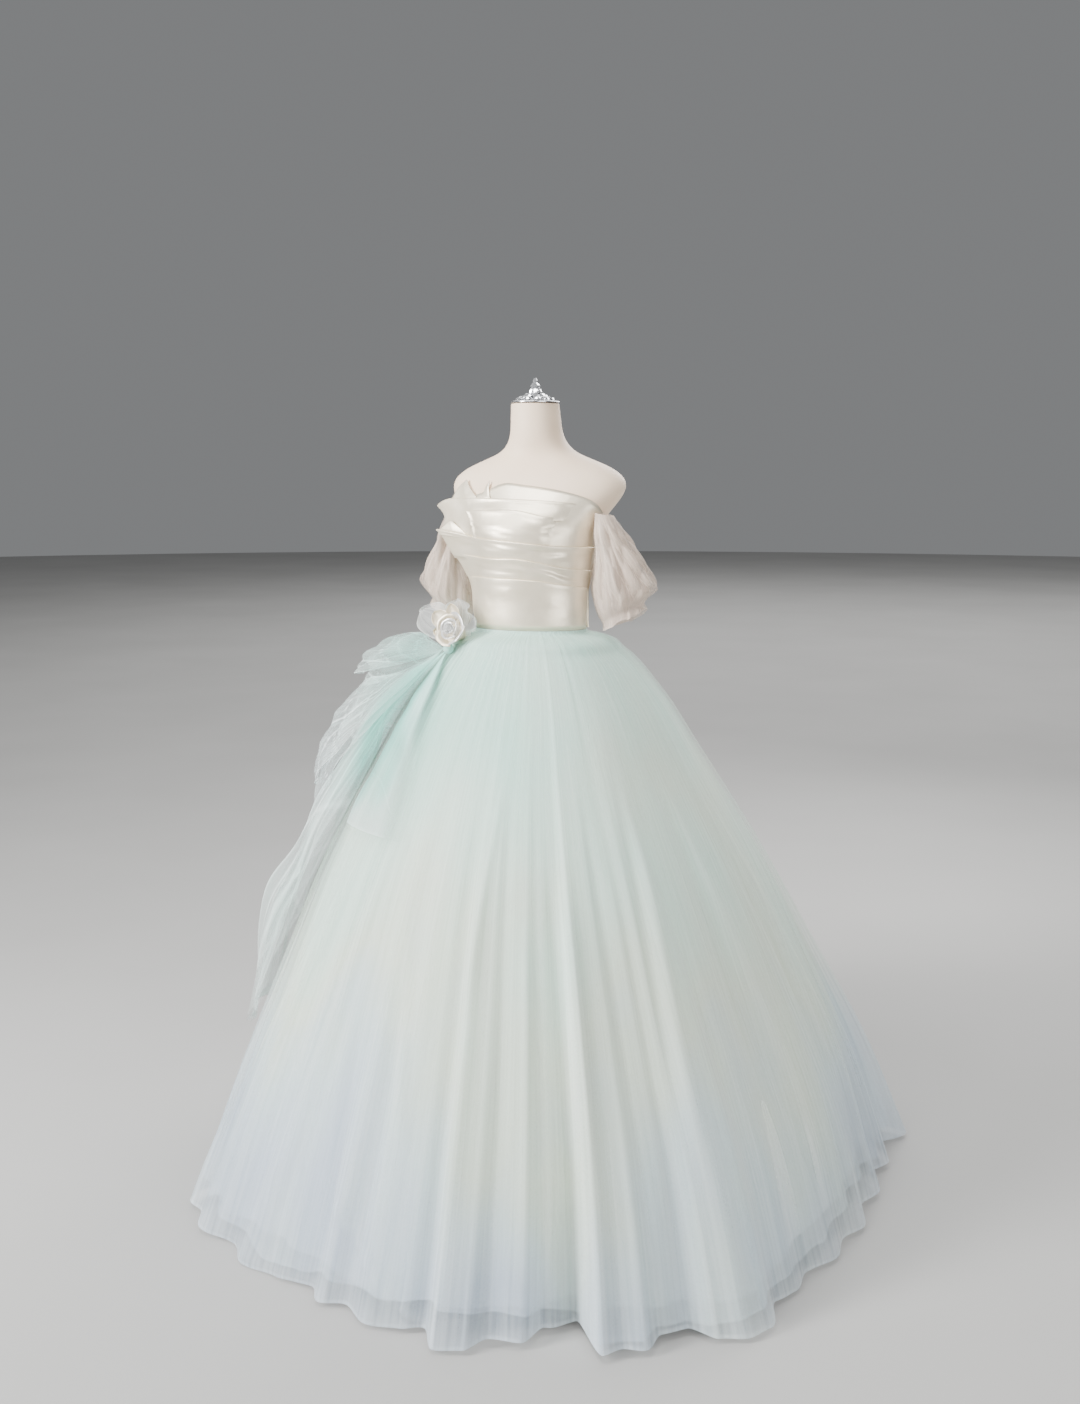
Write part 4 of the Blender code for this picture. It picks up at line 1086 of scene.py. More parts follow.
def skirt_layer(name, material, slot, nodes, cut, grid, hem, inset, look):
    """One layer of the skirt, as a grid of columns and rows. cut is not used.

    hem gives its height and how uneven it is in small and wide steps, inset how far it lies inside
    the outer layer at waist and hem, and look the share of the folds' depth, a seed, the density of
    one layer of net and how crisp the gathers are.
    """
    depth, seed, base, crisp = look
    angle = np.arange(grid[0])[:, None] * 360.0 / grid[0]
    # The rows lie close together at both ends
    waist, long = np.linspace(0, 0.05, 12)[:-1], np.linspace(0.05, 0.972, grid[1])
    share = np.concatenate([waist, long, [0.980, 0.987, 0.993, 0.997, 1.0]])[None, :]
    ragged = hem[1] * uneven(angle, 90, seed + 5) + hem[2] * uneven(angle, 23, seed + 6)
    height = SKIRT_TOP - (SKIRT_TOP - hem[0] - ragged) * share
    grown = fold_growth(height) ** (0.85 / FOLD_GROWTH)
    small = crisp * (gathers(angle, height, seed) + crease_out(angle, height))
    # Nothing may reach inside the bodice's panel or the form at the waist
    small = np.maximum(small, -0.0006 - 0.02 * grown)
    out = small - (inset[0] + (inset[1] - inset[0]) * grown)
    wide, hung = wide_waves(angle), waves(HEM_WAVES, angle)
    folds = fold_growth(height) * (wide + depth * (hung - wide))
    if inset[1]:
        # A layer inside may be smoother than the outer one, but never reaches out through its
        # troughs
        cover = gathers(angle, height, 11) + crease_out(angle, height)
        cover = cover + fold_growth(height) * hung
        out = np.minimum(out + folds, cover - inset[0] - 0.3 * inset[1] * grown) - folds
    points = on_skirt(angle, height, out, depth)
    dense = None
    if base:
        dense = density(points, out + folds, base)
        dense = 1 - (1 - dense) * (1 - 0.22 * fade(height, 0.22, 0.03))
    layer = cloth(name, points, material, slot, nodes, ring=True, size=(4.7, 1.34), dense=dense)


OUTER_LOOK = ((1152, 52), (0.010, 0.004, 0.006), (0.0, 0.0), (1.0, 11, 0.28, 1.0))
MIDDLE_LOOK = ((960, 44), (0.034, 0.008, 0.016), (0.0008, 0.016), (0.70, 31, 0.42, 0.8))
UNDER_LOOK = ((768, 40), (0.048, 0.006, 0.020), (0.0016, 0.028), (0.35, 51, 0.0, 0.5))
panels, linings = ([f"{name}_{i}" for i in range(1, 9)] for name in ("skirt_tulle", "underskirt"))
skirt_layer("skirt_tulle_outer", outer_tulle, "tulle", panels, 5.2, *OUTER_LOOK)
skirt_layer("skirt_tulle_middle", middle_tulle, "tulle", [], 5.1, *MIDDLE_LOOK)
skirt_layer("underskirt_layers", inner_tulle, "lining", linings, 4.9, *UNDER_LOOK)

# %% [markdown]
# ## The sleeves
#
# Each off-the-shoulder sleeve is a wide tube of tulle, drawn into a narrow edge at the top and into
# a band near the foot, with a short frill below it. Between the two it puffs out. Two sheer layers
# are built, and the inner one keeps a finger's width away on the outer side, so that the sleeve is
# nearly solid in front and clear as glass along its outline, as a real one is.

# %% Tables of the sleeves
SLEEVE_TOP = 1.368
SLEEVE_BAND = 1.172
# height, out to the side, forward, half across, half deep, how much the outer side is raised
SLEEVE = (
    (1.368, 0.16, 0.086, 0.019, 0.02, -10),
    (1.338, 0.166, 0.074, 0.029, 0.03, -5),
    (1.3, 0.175, 0.058, 0.04, 0.041, 0),
    (1.262, 0.182, 0.048, 0.053, 0.05, 0),
    (1.228, 0.186, 0.042, 0.062, 0.056, 4),
    (1.202, 0.188, 0.039, 0.06, 0.055, 12),
    (1.184, 0.187, 0.037, 0.054, 0.052, 21),
    (1.17, 0.187, 0.036, 0.047, 0.046, 28),
    (1.161, 0.188, 0.036, 0.048, 0.047, 30),
    (1.154, 0.189, 0.036, 0.05, 0.048, 31),
)
# Folds, as seen from in front: turn and height of the upper end, of the lower end,
# half width in degrees, and how far out. A turn of 0 is the outer side and 270 is the front.
SLEEVE_FOLDS = (
    (285, 1.366, 322, 1.18, 9, 0.0055),
    (268, 1.36, 296, 1.176, 7, -0.005),
    (252, 1.364, 262, 1.178, 8, 0.0045),
    (300, 1.34, 345, 1.19, 8, 0.005),
    (322, 1.33, 352, 1.215, 7, -0.006),
    (262, 1.29, 284, 1.172, 6, 0.0045),
    (278, 1.3, 300, 1.2, 5, -0.0045),
    (240, 1.3, 236, 1.176, 8, -0.005),
    (228, 1.34, 214, 1.18, 9, 0.0045),
    (345, 1.3, 372, 1.185, 9, 0.0045),
    (20, 1.34, 30, 1.18, 10, -0.005),
    (48, 1.35, 62, 1.18, 10, 0.005),
    (80, 1.33, 92, 1.176, 9, -0.0045),
    (112, 1.35, 118, 1.18, 10, 0.0045),
    (146, 1.32, 150, 1.18, 9, -0.0045),
    (185, 1.34, 180, 1.18, 12, 0.003),
)
RIGHT_OUT = 0.012
RIGHT_BACK = 0.050


def sleeve_points(side, turn, height, out):
    """Points of a sleeve: side is 1 on the wearer's left and -1 on the right."""
    moved_out, moved_back = (0.0, 0.0) if side > 0 else (RIGHT_OUT, RIGHT_BACK)
    columns = (curve(SLEEVE, column, height) for column in range(1, 6))
    middle, forward, across, deep, raised = columns
    angle, lean = np.radians(turn), np.radians(raised)
    outward = (across + out) * np.cos(angle)
    x = side * (middle + moved_out + outward * np.cos(lean))
    y = (deep + out) * np.sin(angle) - forward + moved_back
    return np.stack([x, y, height + outward * np.sin(lean)], -1)


def sleeve_gathers(turn, height, seed):
    """Small gathers at both ends, wider ones between, the frill's ruffle, and the sharp creases."""
    puff = fade(height, 1.366, 1.32) * fade(height, SLEEVE_BAND, 1.205)
    ends = uneven(turn, 30, seed) * (0.0010 - 0.0007 * puff)
    drift = turn + 22 * np.sin(np.radians(turn * 2) + 17 * height)
    wide = uneven(drift, 9, seed + 1) * 0.0036 * puff
    frill = uneven(turn, 24, seed + 2) * 0.0040 * fade(height, SLEEVE_BAND, 1.155)
    crossing, lines = crumple(np.radians(turn), (SLEEVE_TOP - height) * 8, seed + 9, whole=True)
    return ends + wide + frill + crossing * 0.0090 * puff, lines


def sleeve_folds(turn, height):
    """The listed folds: soft at the foot of each side and crisp along the ridge."""
    ends = ((-0.02, 0.3), (1.02, 0.75))
    crisp = lambda off: 1.4 * np.exp(-np.sqrt(off**2 + 0.05))
    return placed_folds(SLEEVE_FOLDS, turn, height, 0.0, *ends, crisp)


print("sleeve folds placed by hand:", len(SLEEVE_FOLDS))

# %% Sleeves
SLEEVE_DYE = ((0.0, "#d6c1b0"), (0.45, "#d1bdae"), (0.8, "#d9c7b7"), (1.0, "#dfcebf"))
CHEST = (0.0, 0.0, 1.10)
sleeve_tulle = tulle("blush_tulle", SLEEVE_DYE, 7.0, centre=CHEST, reach=0.36, crowd=0.14)
# layer, how far it lies inside, also on the outer side, density of one layer of net, step of the
# seed
SLEEVE_LAYERS = (("outer", 0.0, 0.0, 0.26, 0), ("inner", 0.0030, 0.0130, 0.50, 5))
turn = np.arange(240)[:, None] * 1.5
rows = np.concatenate([np.linspace(SLEEVE_TOP, 1.176, 46), np.linspace(1.173, 1.153, 9)])[None, :]
inner_side = np.clip(-np.cos(np.radians(turn)), 0, 1)
outer_side = np.clip(np.cos(np.radians(turn)), 0, 1) ** 1.5
for side, node, first_seed in ((1, "sleeve_left", 71), (-1, "sleeve_right", 91)):
    for layer, inset, side_inset, base, step in SLEEVE_LAYERS:
        seed = first_seed + step
        scallop = 0.0060 * uneven(turn, 9, seed + 2) + 0.0024 * uneven(turn, 21, seed + 3)
        # The frill is shorter next to the body, so that it hangs in a round edge and not in a
        # corner
        scallop = scallop * (1 - 0.6 * inner_side) + 0.0075 * inner_side
        height = rows + scallop * fade(rows, SLEEVE_BAND, 1.155)
        small, lines = sleeve_gathers(turn, height, seed)
        small = small + sleeve_folds(turn, height)
        # On the side next to the body and at both ends the folds stay shallow
        small = small * (1 - 0.55 * inner_side) * fade(height, 1.370, 1.35)
        puff = fade(height, 1.366, 1.30) * fade(height, SLEEVE_BAND, 1.215)
        out = small - inset * (0.35 + 0.65 * puff) - side_inset * outer_side * puff
        points = sleeve_points(side, turn, height, out)
        dense = np.clip(density(points, out, base) + 0.50 * lines * puff, 0, 1)
        # The other sleeve is mirrored, so its columns run the other way to keep the faces outwards
        points, dense = points[::side], dense[::side]
        name, nodes = f"{node}_{layer}", [node] if layer == "outer" else []
        look = {"ring": True, "size": (0.62, 0.27), "dense": dense}
        sleeve = cloth(name, points, sleeve_tulle, "sleeve", nodes, **look)

# %% [markdown]
# ## The rose
#
# The rose is rolled from white satin: a tight roll in the middle and three rings of petals round
# it, each petal a folded strip whose lip is turned out. Behind it stand cupped petals of cream
# satin and ruffled ones of organza, a crisp sheer weave. All are stitched to a round backing with a
# stem.

# %% Rose satin and backing
# Bleached satin: whiter and glossier than the bodice, so its lips catch clear highlights.
rose_satin, tree, shader, place, soft = mottled(
    "bleached_rose_satin", {"Scale": 55.0, "Detail": 2.0}, ((0.3, "#f1f1ef"), (0.7, "#fbfbfa"))
)
relief = add_node(tree, "Bump", {"Height": soft, "Strength": 0.25, "Distance": 0.002})
feed(shader, {"Normal": relief, "Roughness": 0.18, "Metallic": MIRROR, "Specular IOR Level": 0.8})
feed(shader, {"Coat Weight": 0.6, "Coat Roughness": 0.1})

FLOWER_TURN = radians(-41)
FLOWER_FACES = radians(-20)
FLOWER_TIP = radians(22)
FLOWER_DISC = 0.024
FLOWER_STEM = 0.0125
STEM_END = 0.0254
DISC_THICK = 0.0018
flower_out = np.array(
    [sin(FLOWER_FACES) * cos(FLOWER_TIP), -cos(FLOWER_FACES) * cos(FLOWER_TIP), sin(FLOWER_TIP)]
)
flower_right = np.array([cos(FLOWER_FACES), sin(FLOWER_FACES), 0.0])
flower_up = np.cross(flower_out, flower_right)
flower_middle = np.array([0.200 * sin(FLOWER_TURN), -0.200 * cos(FLOWER_TURN), 1.136])


def at_flower(right, up, out):
    """Points given by how far they are to the right, up and out from the rose's middle."""
    right, up, out = (steps[..., None] for steps in np.broadcast_arrays(right, up, out))
    return flower_middle + (right * flower_right + up * flower_up + out * flower_out)


add = bpy.ops.mesh.primitive_cylinder_add
backing = add_shape("flower_backing_satin", add, vertices=40, radius=FLOWER_DISC, depth=DISC_THICK)
bpy.ops.object.mode_set(mode="EDIT")
bpy.ops.transform.translate(value=(0, 0, -DISC_THICK / 2))
pick_faces(backing, -1)
bpy.ops.mesh.inset(thickness=FLOWER_DISC - FLOWER_STEM)
bpy.ops.mesh.extrude_region_move(TRANSFORM_OT_translate={"value": (0, 0, DISC_THICK - STEM_END)})
bpy.ops.object.mode_set(mode="OBJECT")
axes = zip(flower_right, flower_up, flower_out, flower_middle)
backing.matrix_world = Matrix([*axes, (0, 0, 0, 1)])
bpy.ops.object.transform_apply()
finish_shape(backing, satin, 0.0006, 3, 40)
stand_in(backing, "satin", "flower_backing")
print("backing", round(2 * FLOWER_DISC, 3), "m across")

# %% Rolled rose
# how many petals, the first one's turn, radius at the foot and at the lip, length
ROSE_RINGS = (
    (2, 20, 0.0085, 0.0105, 0.024),
    (3, 75, 0.0155, 0.019, 0.022),
    (4, 10, 0.023, 0.033, 0.019),
)
share = np.linspace(-0.07, 1.07, 33)[:, None]
rise = np.linspace(0, 1, 22)[None, :]
for ring, (count, first, foot, lip, long) in enumerate(ROSE_RINGS):
    for number in range(count):
        wave = np.sin(7 * share + 2.3 * number + ring) + 0.6 * np.sin(13 * share + 5 * number)
        # Each petal starts inside its neighbour and ends outside it
        spiral = (share - 0.5) * 0.0026
        bow = 1 - 0.30 * np.abs(2 * share - 1) ** 2.2 + 0.02 * wave
        curl = np.clip((rise - 0.80) / 0.20, 0, 1)
        radius = foot + (lip - foot) * rise**1.6 + spiral + 0.0006 * wave * rise
        radius = radius + 0.0026 * curl**1.5 * (0.6 + 0.4 * np.sin(pi * np.clip(share, 0, 1)))
        level = 0.0008 + long * bow * rise - 0.0022 * curl**2
        turn = np.radians(first + 360 / count * (number + share))
        points = at_flower(radius * np.cos(turn), radius * np.sin(turn), level)
        # The two outer petals at the wearer's right are ivory
        satins = satin if ring == 2 and number in (1, 2) else rose_satin
        name, node = f"rose_{ring + 1}_{number + 1}_rolled", f"rose_petal_{ring + 1}_{number + 1}"
        petal = cloth(name, points, satins, "satin", [node], thick=0.0006, size=(0.05, 0.03))
        wide = pi * (foot + lip) / count
        cut = (round(wide, 3), round(cloth_area(petal) / wide, 4))
HEART_TURNS = 2.4
roll = np.linspace(0, 1, 90)[:, None]
turn = 2 * pi * HEART_TURNS * roll + 0.8
radius = 0.0012 + 0.0060 * roll + 0.0008 * rise**3
level = 0.0008 + (0.0225 - 0.004 * roll + 0.0008 * np.sin(5 * turn)) * rise
points = at_flower(radius * np.cos(turn), radius * np.sin(turn), level)
size = (0.07, 0.022)
heart = cloth("rose_heart_rolled", points, rose_satin, "satin", thick=0.0005, size=size)
print(sum(ring[0] for ring in ROSE_RINGS), "rose petals round a roll of", HEART_TURNS, "turns")

# %% Loose petals
# name, direction, length, half width, set back, steepness outside the backing
LOOSE = (
    ("cream_petal_1", 150, 0.048, 0.018, 0.0038, 0.34),
    ("cream_petal_2", 108, 0.042, 0.016, 0.0061, 0.34),
    ("cream_petal_3", 186, 0.036, 0.012, 0.0087, 0.34),
    ("organza_petal_1", 160, 0.086, 0.036, 0.0116, 0.2),
    ("organza_petal_2", 98, 0.054, 0.03, 0.0144, 0.2),
    ("organza_petal_3", 34, 0.04, 0.022, 0.0172, 0.2),
)
ORGANZA_DYE = ((0.0, "#dfe5e0"), (0.6, "#d9dfdd"), (1.0, "#e6e6e4"))
FLOWER_PLACE = tuple(float(v) for v in flower_middle)
organza = tulle("silk_organza", ORGANZA_DYE, 5.0, centre=FLOWER_PLACE, reach=0.10)
side = np.linspace(-1, 1, 49)[:, None]
along = np.linspace(0, 1, 44)[None, :]
for name, direction, long, half, back, steep in LOOSE:
    sheer = name.startswith("organza")
    turn = radians(direction)
    tip = np.sqrt(np.clip(1 - (np.clip((along - 0.66) / 0.341, 0, 1)) ** 2.6, 0.0006, 1))
    width = half * (0.22 + 0.78 * np.sin(pi * np.minimum(1, 0.08 + 0.84 * along)) ** 0.7)
    width = width * tip * (1.0 if sheer else 1.04)
    reach = FLOWER_STEM + 0.0006 + long * along
    phase = 0.7 * direction
    # Organza is cut on the curve, so its rim is longer than its middle and ruffles
    rim = np.clip(np.maximum(np.abs(side), (along - 0.62) / 0.38), 0, 1) ** 3
    swing = np.sin(9 * along + 2 * side + phase) + 0.7 * np.sin(5 * side - 11 * along + phase)
    ruffle = (0.0042 if sheer else 0.0008) * rim * swing * fade(along, 0.15, 0.5)
    cup = (0.0060 if sheer else 0.0045) * (side**2 * fade(along, 0.15, 0.6) + 0.7 * along**3)
    fold = side - 0.35 * np.sin(phase) + 0.2 * along
    crease = (0.0022 if sheer else 0.0) * np.exp(-((fold / 0.06) ** 2))
    right = reach * cos(turn) - side * width * sin(turn)
    up = reach * sin(turn) + side * width * cos(turn)
    far = np.sqrt(right**2 + up**2)
    lift = steep * np.maximum(0, far - FLOWER_DISC) - back
    lift = lift + (cup + ruffle + crease) * fade(far, FLOWER_DISC, FLOWER_DISC + 0.012)
    points = at_flower(right, up, lift)
    size = (2 * half, long)
    if sheer:
        edges = ((1 - np.abs(side)) * tip / 0.05, (1 - along) / 0.03)
        border = np.clip(sum(np.exp(-(edge**2)) for edge in edges), 0, 1)
        dense = 0.34 + 0.25 * np.exp(-((fold / 0.03) ** 2)) + 0.45 * border + 0.10 * swing * rim
        dense = np.clip(dense, 0, 1)
        petal = cloth(f"{name}_ruffled", points, organza, "mint", [name], size=size, dense=dense)
    else:
        petal = cloth(f"{name}_cupped", points, satin, "satin", [name], thick=0.0008, size=size)
    cut = (2 * half, round(cloth_area(petal, 1 if sheer else 2) / (2 * half), 4))
    print(petal.name, "cut", *cut, "m")

# %% [markdown]
# ## The hip drapes
#
# Four lengths of crisp mint tulle are caught in a knot under the rose: two swags that stand out
# over the hip towards the back, a long tail and a short fall in front. Crisp net doesn't hang in
# soft waves. It breaks into flat facets, and along each crease and each cut edge the threads crowd,
# so the crease shows as a bright line. Every fold here is a row in a table: where it starts and
# ends across the sheet, how wide it is and how far out it stands. A second, inner layer gives the
# depth.

# %% Tables of the drapes
# angle, heights of the upper and lower edge, how far out the upper edge, middle and lower edge are
UPPER_SWAG = (
    (-50, 1.096, 1.085, 0.01, 0.012, 0.012),
    (-56, 1.099, 1.084, 0.014, 0.026, 0.024),
    (-62, 1.11, 1.07, 0.036, 0.056, 0.052),
    (-67, 1.122, 1.054, 0.074, 0.104, 0.092),
    (-73, 1.127, 1.04, 0.104, 0.146, 0.132),
    (-84, 1.112, 1.03, 0.09, 0.14, 0.132),
    (-96, 1.096, 1.034, 0.07, 0.11, 0.118),
    (-108, 1.084, 1.046, 0.04, 0.06, 0.084),
    (-116, 1.078, 1.058, 0.02, 0.026, 0.05),
)
LOWER_SWAG = (
    (-49, 1.086, 1.079, 0.013, 0.014, 0.013),
    (-54, 1.074, 1.03, 0.032, 0.036, 0.034),
    (-62, 1.048, 0.92, 0.058, 0.072, 0.078),
    (-73, 1.03, 0.812, 0.104, 0.124, 0.104),
    (-84, 1.016, 0.786, 0.112, 0.134, 0.104),
    (-97, 1.006, 0.8, 0.1, 0.116, 0.092),
    (-110, 1.004, 0.84, 0.062, 0.072, 0.058),
    (-120, 1.012, 0.89, 0.018, 0.024, 0.018),
)
# height, angles of both edges, how far out the first edge, the middle and the last edge are
TAIL = (
    (1.076, -50, -47, 0.013, 0.0145, 0.013),
    (1.04, -64, -50, 0.026, 0.026, 0.014),
    (0.97, -82, -52, 0.042, 0.044, 0.016),
    (0.89, -94, -53, 0.048, 0.056, 0.016),
    (0.8, -102, -54, 0.052, 0.064, 0.018),
    (0.72, -106, -55, 0.056, 0.078, 0.018),
    (0.63, -108, -56, 0.056, 0.08, 0.02),
    (0.53, -107, -58, 0.06, 0.102, 0.022),
    (0.44, -103, -61, 0.056, 0.088, 0.026),
    (0.36, -97, -65, 0.048, 0.066, 0.03),
    (0.29, -90, -70, 0.04, 0.05, 0.034),
)
FRONT_FALL = (
    (1.07, -46, -43, 0.009, 0.0095, 0.009),
    (1.03, -49, -36, 0.01, 0.012, 0.009),
    (0.96, -50, -31, 0.01, 0.013, 0.009),
    (0.89, -50, -27, 0.011, 0.014, 0.01),
    (0.82, -50, -24, 0.012, 0.015, 0.011),
    (0.755, -49, -22, 0.013, 0.016, 0.012),
)
# Creases: place across the sheet at the knot and at the far end, where along it starts and ends,
# half width, and how far out it stands (a trough is negative)
UPPER_FOLDS = (
    (0.16, 0.08, 0.02, 0.95, 0.07, 0.01),
    (0.34, 0.3, 0.02, 1.0, 0.08, -0.012),
    (0.48, 0.46, 0.0, 0.85, 0.06, 0.01),
    (0.62, 0.7, 0.05, 1.0, 0.09, -0.01),
    (0.8, 0.88, 0.02, 0.9, 0.06, 0.009),
    (0.2, 0.75, 0.35, 0.9, 0.05, 0.008),
    (0.95, 0.35, 0.3, 0.75, 0.05, -0.007),
)
LOWER_FOLDS = (
    (0.1, 0.06, 0.03, 0.9, 0.05, 0.009),
    (0.22, 0.2, 0.0, 1.0, 0.06, -0.011),
    (0.36, 0.33, 0.03, 0.95, 0.05, 0.011),
    (0.46, 0.5, 0.02, 0.85, 0.05, -0.01),
    (0.58, 0.63, 0.05, 1.0, 0.06, 0.012),
    (0.72, 0.74, 0.0, 0.95, 0.06, -0.012),
    (0.84, 0.9, 0.02, 0.9, 0.05, 0.01),
    (0.05, 0.75, 0.25, 0.8, 0.04, 0.009),
    (0.8, 0.2, 0.3, 0.95, 0.04, -0.008),
    (0.55, 0.95, 0.35, 0.75, 0.04, 0.008),
)
TAIL_FOLDS = (
    (0.1, 0.12, 0.02, 0.55, 0.05, 0.01),
    (0.22, 0.26, 0.0, 0.8, 0.05, -0.012),
    (0.35, 0.4, 0.03, 0.9, 0.05, 0.012),
    (0.46, 0.52, 0.02, 1.0, 0.05, -0.012),
    (0.58, 0.62, 0.0, 0.85, 0.05, 0.01),
    (0.69, 0.74, 0.05, 1.0, 0.05, -0.009),
    (0.8, 0.84, 0.02, 0.9, 0.05, 0.007),
    (0.91, 0.94, 0.02, 1.0, 0.04, -0.004),
    (0.9, 0.1, 0.25, 0.62, 0.04, 0.009),
    (0.1, 0.7, 0.5, 0.95, 0.04, 0.012),
    (0.75, 0.2, 0.62, 1.0, 0.04, -0.01),
)
FRONT_FOLDS = (
    (0.15, 0.12, 0.05, 1.0, 0.06, 0.004),
    (0.32, 0.3, 0.02, 0.9, 0.05, -0.0035),
    (0.5, 0.52, 0.02, 1.0, 0.06, 0.004),
    (0.66, 0.68, 0.02, 0.85, 0.05, -0.003),
    (0.8, 0.86, 0.05, 1.0, 0.06, 0.0035),
    (0.2, 0.62, 0.35, 0.85, 0.04, 0.003),
)
# name, shape, creases, whether it runs round the hip, share of the skirt's folds below it, the
# direction seen from outside in which it leaves the knot, and how far before the knot's middle
DRAPES = (
    ("cascade_upper_swag", UPPER_SWAG, UPPER_FOLDS, True, 0.0, 150, 0.003),
    ("cascade_lower_swag", LOWER_SWAG, LOWER_FOLDS, True, 0.0, 188, 0.004),
    ("cascade_tail", TAIL, TAIL_FOLDS, False, 0.6, 224, -0.004),
    ("cascade_front_fall", FRONT_FALL, FRONT_FOLDS, False, 1.0, 266, -0.004),
)
# For each: cut width and length, base of the outer and inner layer's density, how clearly folds
# from the knot, crossing creases and edges show, and from where across it thins out towards its
# last edge
DRAPE_LOOKS = (
    ((0.36, 0.13), (0.24, 0.22), (0.10, 0.65, 0.5), 2),
    ((0.50, 0.28), (0.24, 0.22), (0.10, 0.65, 0.5), 2),
    ((0.42, 0.95), (0.30, 0.26), (0.46, 0.34, 0.46), 0.75),
    ((0.16, 0.36), (0.50, 0.0), (0.08, 0.16, 0.16), 0.65),
)
print("creases in the drapes:", sum(len(folds) for _, _, folds, *_ in DRAPES))

# %% Leaving the knot
KNOT_RADIUS = 0.011
KNOT_ANGLE = -46.5
KNOT_HEIGHT = 1.093
KNOT_HALF_ROW = 0.0028
knot_middle = on_skirt(KNOT_ANGLE, KNOT_HEIGHT, KNOT_RADIUS + 0.0009)
knot_out = knot_middle - on_skirt(KNOT_ANGLE, KNOT_HEIGHT)
knot_out = knot_out / np.linalg.norm(knot_out)
knot_right = np.array([cos(radians(KNOT_ANGLE)), sin(radians(KNOT_ANGLE)), 0.0])
knot_up = np.cross(knot_out, knot_right)


def crisp_folds(across, along, folds):
    """Sharp folds that fan out from the knot, and how clearly each crease shows."""
    out, line = 0.0, 0.0
    for near, far, start, end, half, lift in folds:
        off = across - (near + (far - near) * along + 0.012 * np.sin(9 * along + 20 * near))
        ends = fade(along, start, start + 0.15) * fade(along, end + 0.02, end - 0.15)
        out = out + lift * np.exp(-np.sqrt((off / half) ** 2 + 0.01)) * ends
        line = line + np.exp(-((off / 0.014) ** 2)) * ends
    return out * fade(along, 0.0, 0.3), np.clip(line, 0, 1)


def at_knot(direction, before, share):
    """The gathered end of a length, beside the knot: share runs across it."""
    way = knot_right * cos(radians(direction)) + knot_up * sin(radians(direction))
    reach = ((KNOT_RADIUS + 0.0006) ** 2 - before**2) ** 0.5
    row = np.cross(knot_out, way) * KNOT_HALF_ROW
    return knot_middle + way * reach + knot_out * before + (2 * share - 1)[..., None] * row


print("the knot's middle:", np.round(knot_middle, 3))

# %% Drapes
MINT_DYE = (
    (0.0, "#7fcfc0"), (0.07, "#a5dcd1"), (0.17, "#c8e5de"), (0.36, "#dae7e4"), (1.0, "#dde4e8"),
)
KNOT_PLACE = tuple(float(v) for v in knot_middle)
mint_tulle = tulle("crisp_mint_tulle", MINT_DYE, 6.0, centre=KNOT_PLACE, reach=0.65, crowd=0.06)
# The tail and the short fall hold their dye further down
deep_tulle = tulle("deep_mint_tulle", MINT_DYE, 6.0, centre=KNOT_PLACE, reach=1.9, crowd=0.06)
LAYER_IN = 0.84


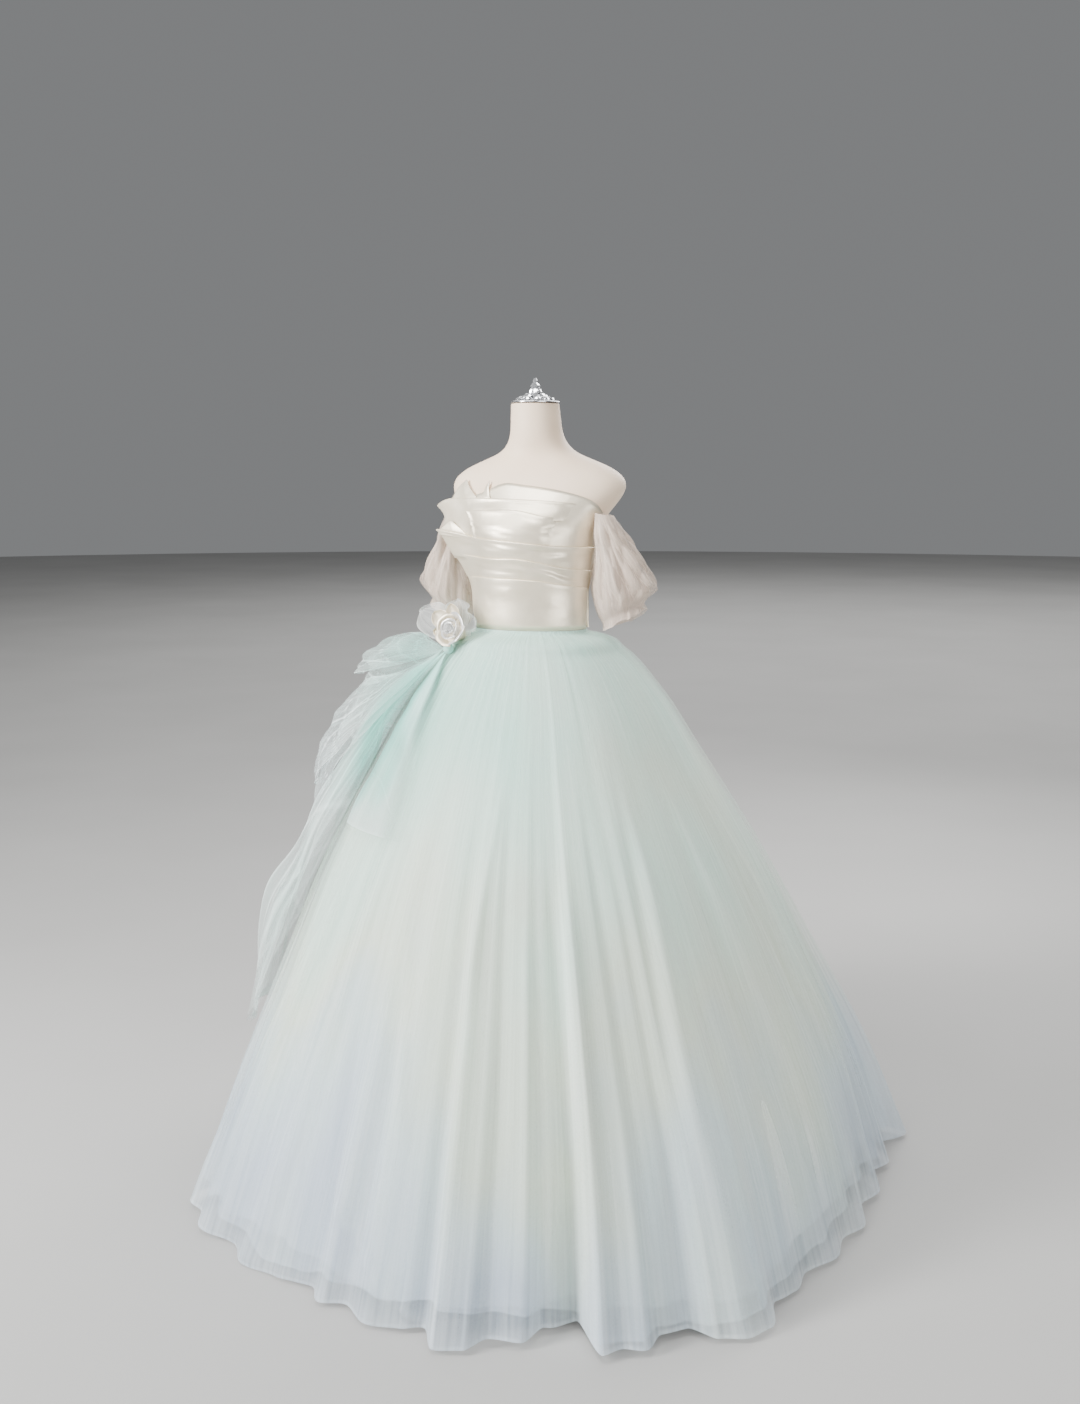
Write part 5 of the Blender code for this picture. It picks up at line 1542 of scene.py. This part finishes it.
def drape_layer(drape, look, layer):
    """The points of one layer of a length, and how much each hides."""
    _, table, folds, round_hip, depth, direction, before = drape
    _, bases, shows, thins = look
    # The inner layer of a swag hangs lower than the outer one
    across = np.linspace(0, 1.3 if layer and round_hip else 1, 97)[:, None]
    along = np.linspace(0, 1, 121)[None, :] ** 1.15
    at = table[0][0] + (table[-1][0] - table[0][0]) * along
    first, last, upper, middle, lower = (curve(table, column, at) for column in range(1, 6))
    small, line = crisp_folds(across + 0.055 * layer, along * (1 - 0.06 * layer), folds)
    small = (0.22 if round_hip else 0.42) * small * (-1 if layer else 1)
    # A swag runs away from the viewer, so its facets are shorter along it
    facets = (4.2 if round_hip else 2.2) * along
    bent, lines = crumple(across, facets, 300 + 7 * layer + len(folds))
    away = fade(along, 0.05, 0.3)
    small = small + 0.015 * bent * np.clip(middle / 0.10, 0, 1) * away
    at, sweep = at + 0 * across, first + (last - first) * across
    angle, height = (at, sweep) if round_hip else (sweep, at)
    out = upper + (lower - upper) * across + (middle - (upper + lower) / 2) * np.sin(pi * across)
    out = np.maximum(out * (LAYER_IN if layer else 1.0) + small, 0.0045)
    points = on_skirt(angle, height, out, depth, 0.0 if round_hip else 1.0)
    start = at_knot(direction, before, across + 0 * along)
    second = (table[1][0] - table[0][0]) / (table[-1][0] - table[0][0])
    points = start + (points - start) * fade(along, 0.0, second * 1.2)[..., None]
    border = np.exp(-((np.minimum(across, across[-1] - across) / 0.012) ** 2))
    border = np.maximum(border, np.exp(-(((1 - along) / 0.012) ** 2)))
    near = 0.45 * np.exp(-((along / (0.5 * second + 0.02)) ** 2))
    if not round_hip:
        # Beside the skirt's own edge the net lies in several plies
        plies = fade(across, 0.1, 0.4) * fade(across, 1.0, 0.7)
        near = near + 0.35 * plies * fade(along, 0.6, 0.2)
    creased = shows[0] * line + shows[1] * lines + 0.14 * bent
    thin = 1 - 0.8 * fade(across, thins, thins + 0.3)
    dense = (bases[layer] + near + creased * away + shows[2] * border) * thin
    return points, np.clip(dense, 0.04, 1)


for drape, look in zip(DRAPES, DRAPE_LOOKS):
    node, cut, round_hip = drape[0], look[0], drape[3]
    for layer, base in enumerate(look[1]):
        if not base:
            continue
        points, dense = drape_layer(drape, look, layer)
        name, nodes = f"{node}_{('outer', 'inner')[layer]}", [] if layer else [node]
        net = mint_tulle if round_hip else deep_tulle
        length = cloth(name, points, net, "mint", nodes, size=cut, dense=dense)

# %% Knot
# The lengths are bound in a small ball of pleated net. Its pleats run from lower left to upper
# right.
column = np.arange(96)[:, None] * 2 * pi / 96
tilt = np.linspace(0.02, pi - 0.02, 41)[None, :]
pleat = 1 + 0.10 * uneven(np.degrees(column) + 30 * np.cos(tilt), 17, 7) * np.sin(tilt) ** 0.6
ball = (KNOT_RADIUS * 0.95 * pleat)[..., None]
pole = 0.8 * knot_right + 0.6 * knot_up
column, tilt = column[..., None], tilt[..., None]
around = np.cos(column) * knot_out + np.sin(column) * np.cross(knot_out, pole)
points = knot_middle + ball * (np.sin(tilt) * around + np.cos(tilt) * pole)
knot_tulle = tulle("bound_mint_tulle", MINT_DYE, 3.0, sheer=False, centre=KNOT_PLACE, reach=0.75)
size = (0.07, 0.03)
nodes = ["cascade_knot"]
knot = cloth("cascade_knot_pleated", points, knot_tulle, "mint", nodes, ring=True, size=size)
select_only(knot)
bpy.ops.object.mode_set(mode="EDIT")
bpy.ops.mesh.select_all(action="SELECT")
bpy.ops.mesh.fill_holes(sides=0)
bpy.ops.mesh.normals_make_consistent(inside=False)
bpy.ops.object.mode_set(mode="OBJECT")
print("knot", round(2 * KNOT_RADIUS, 3), "m across")
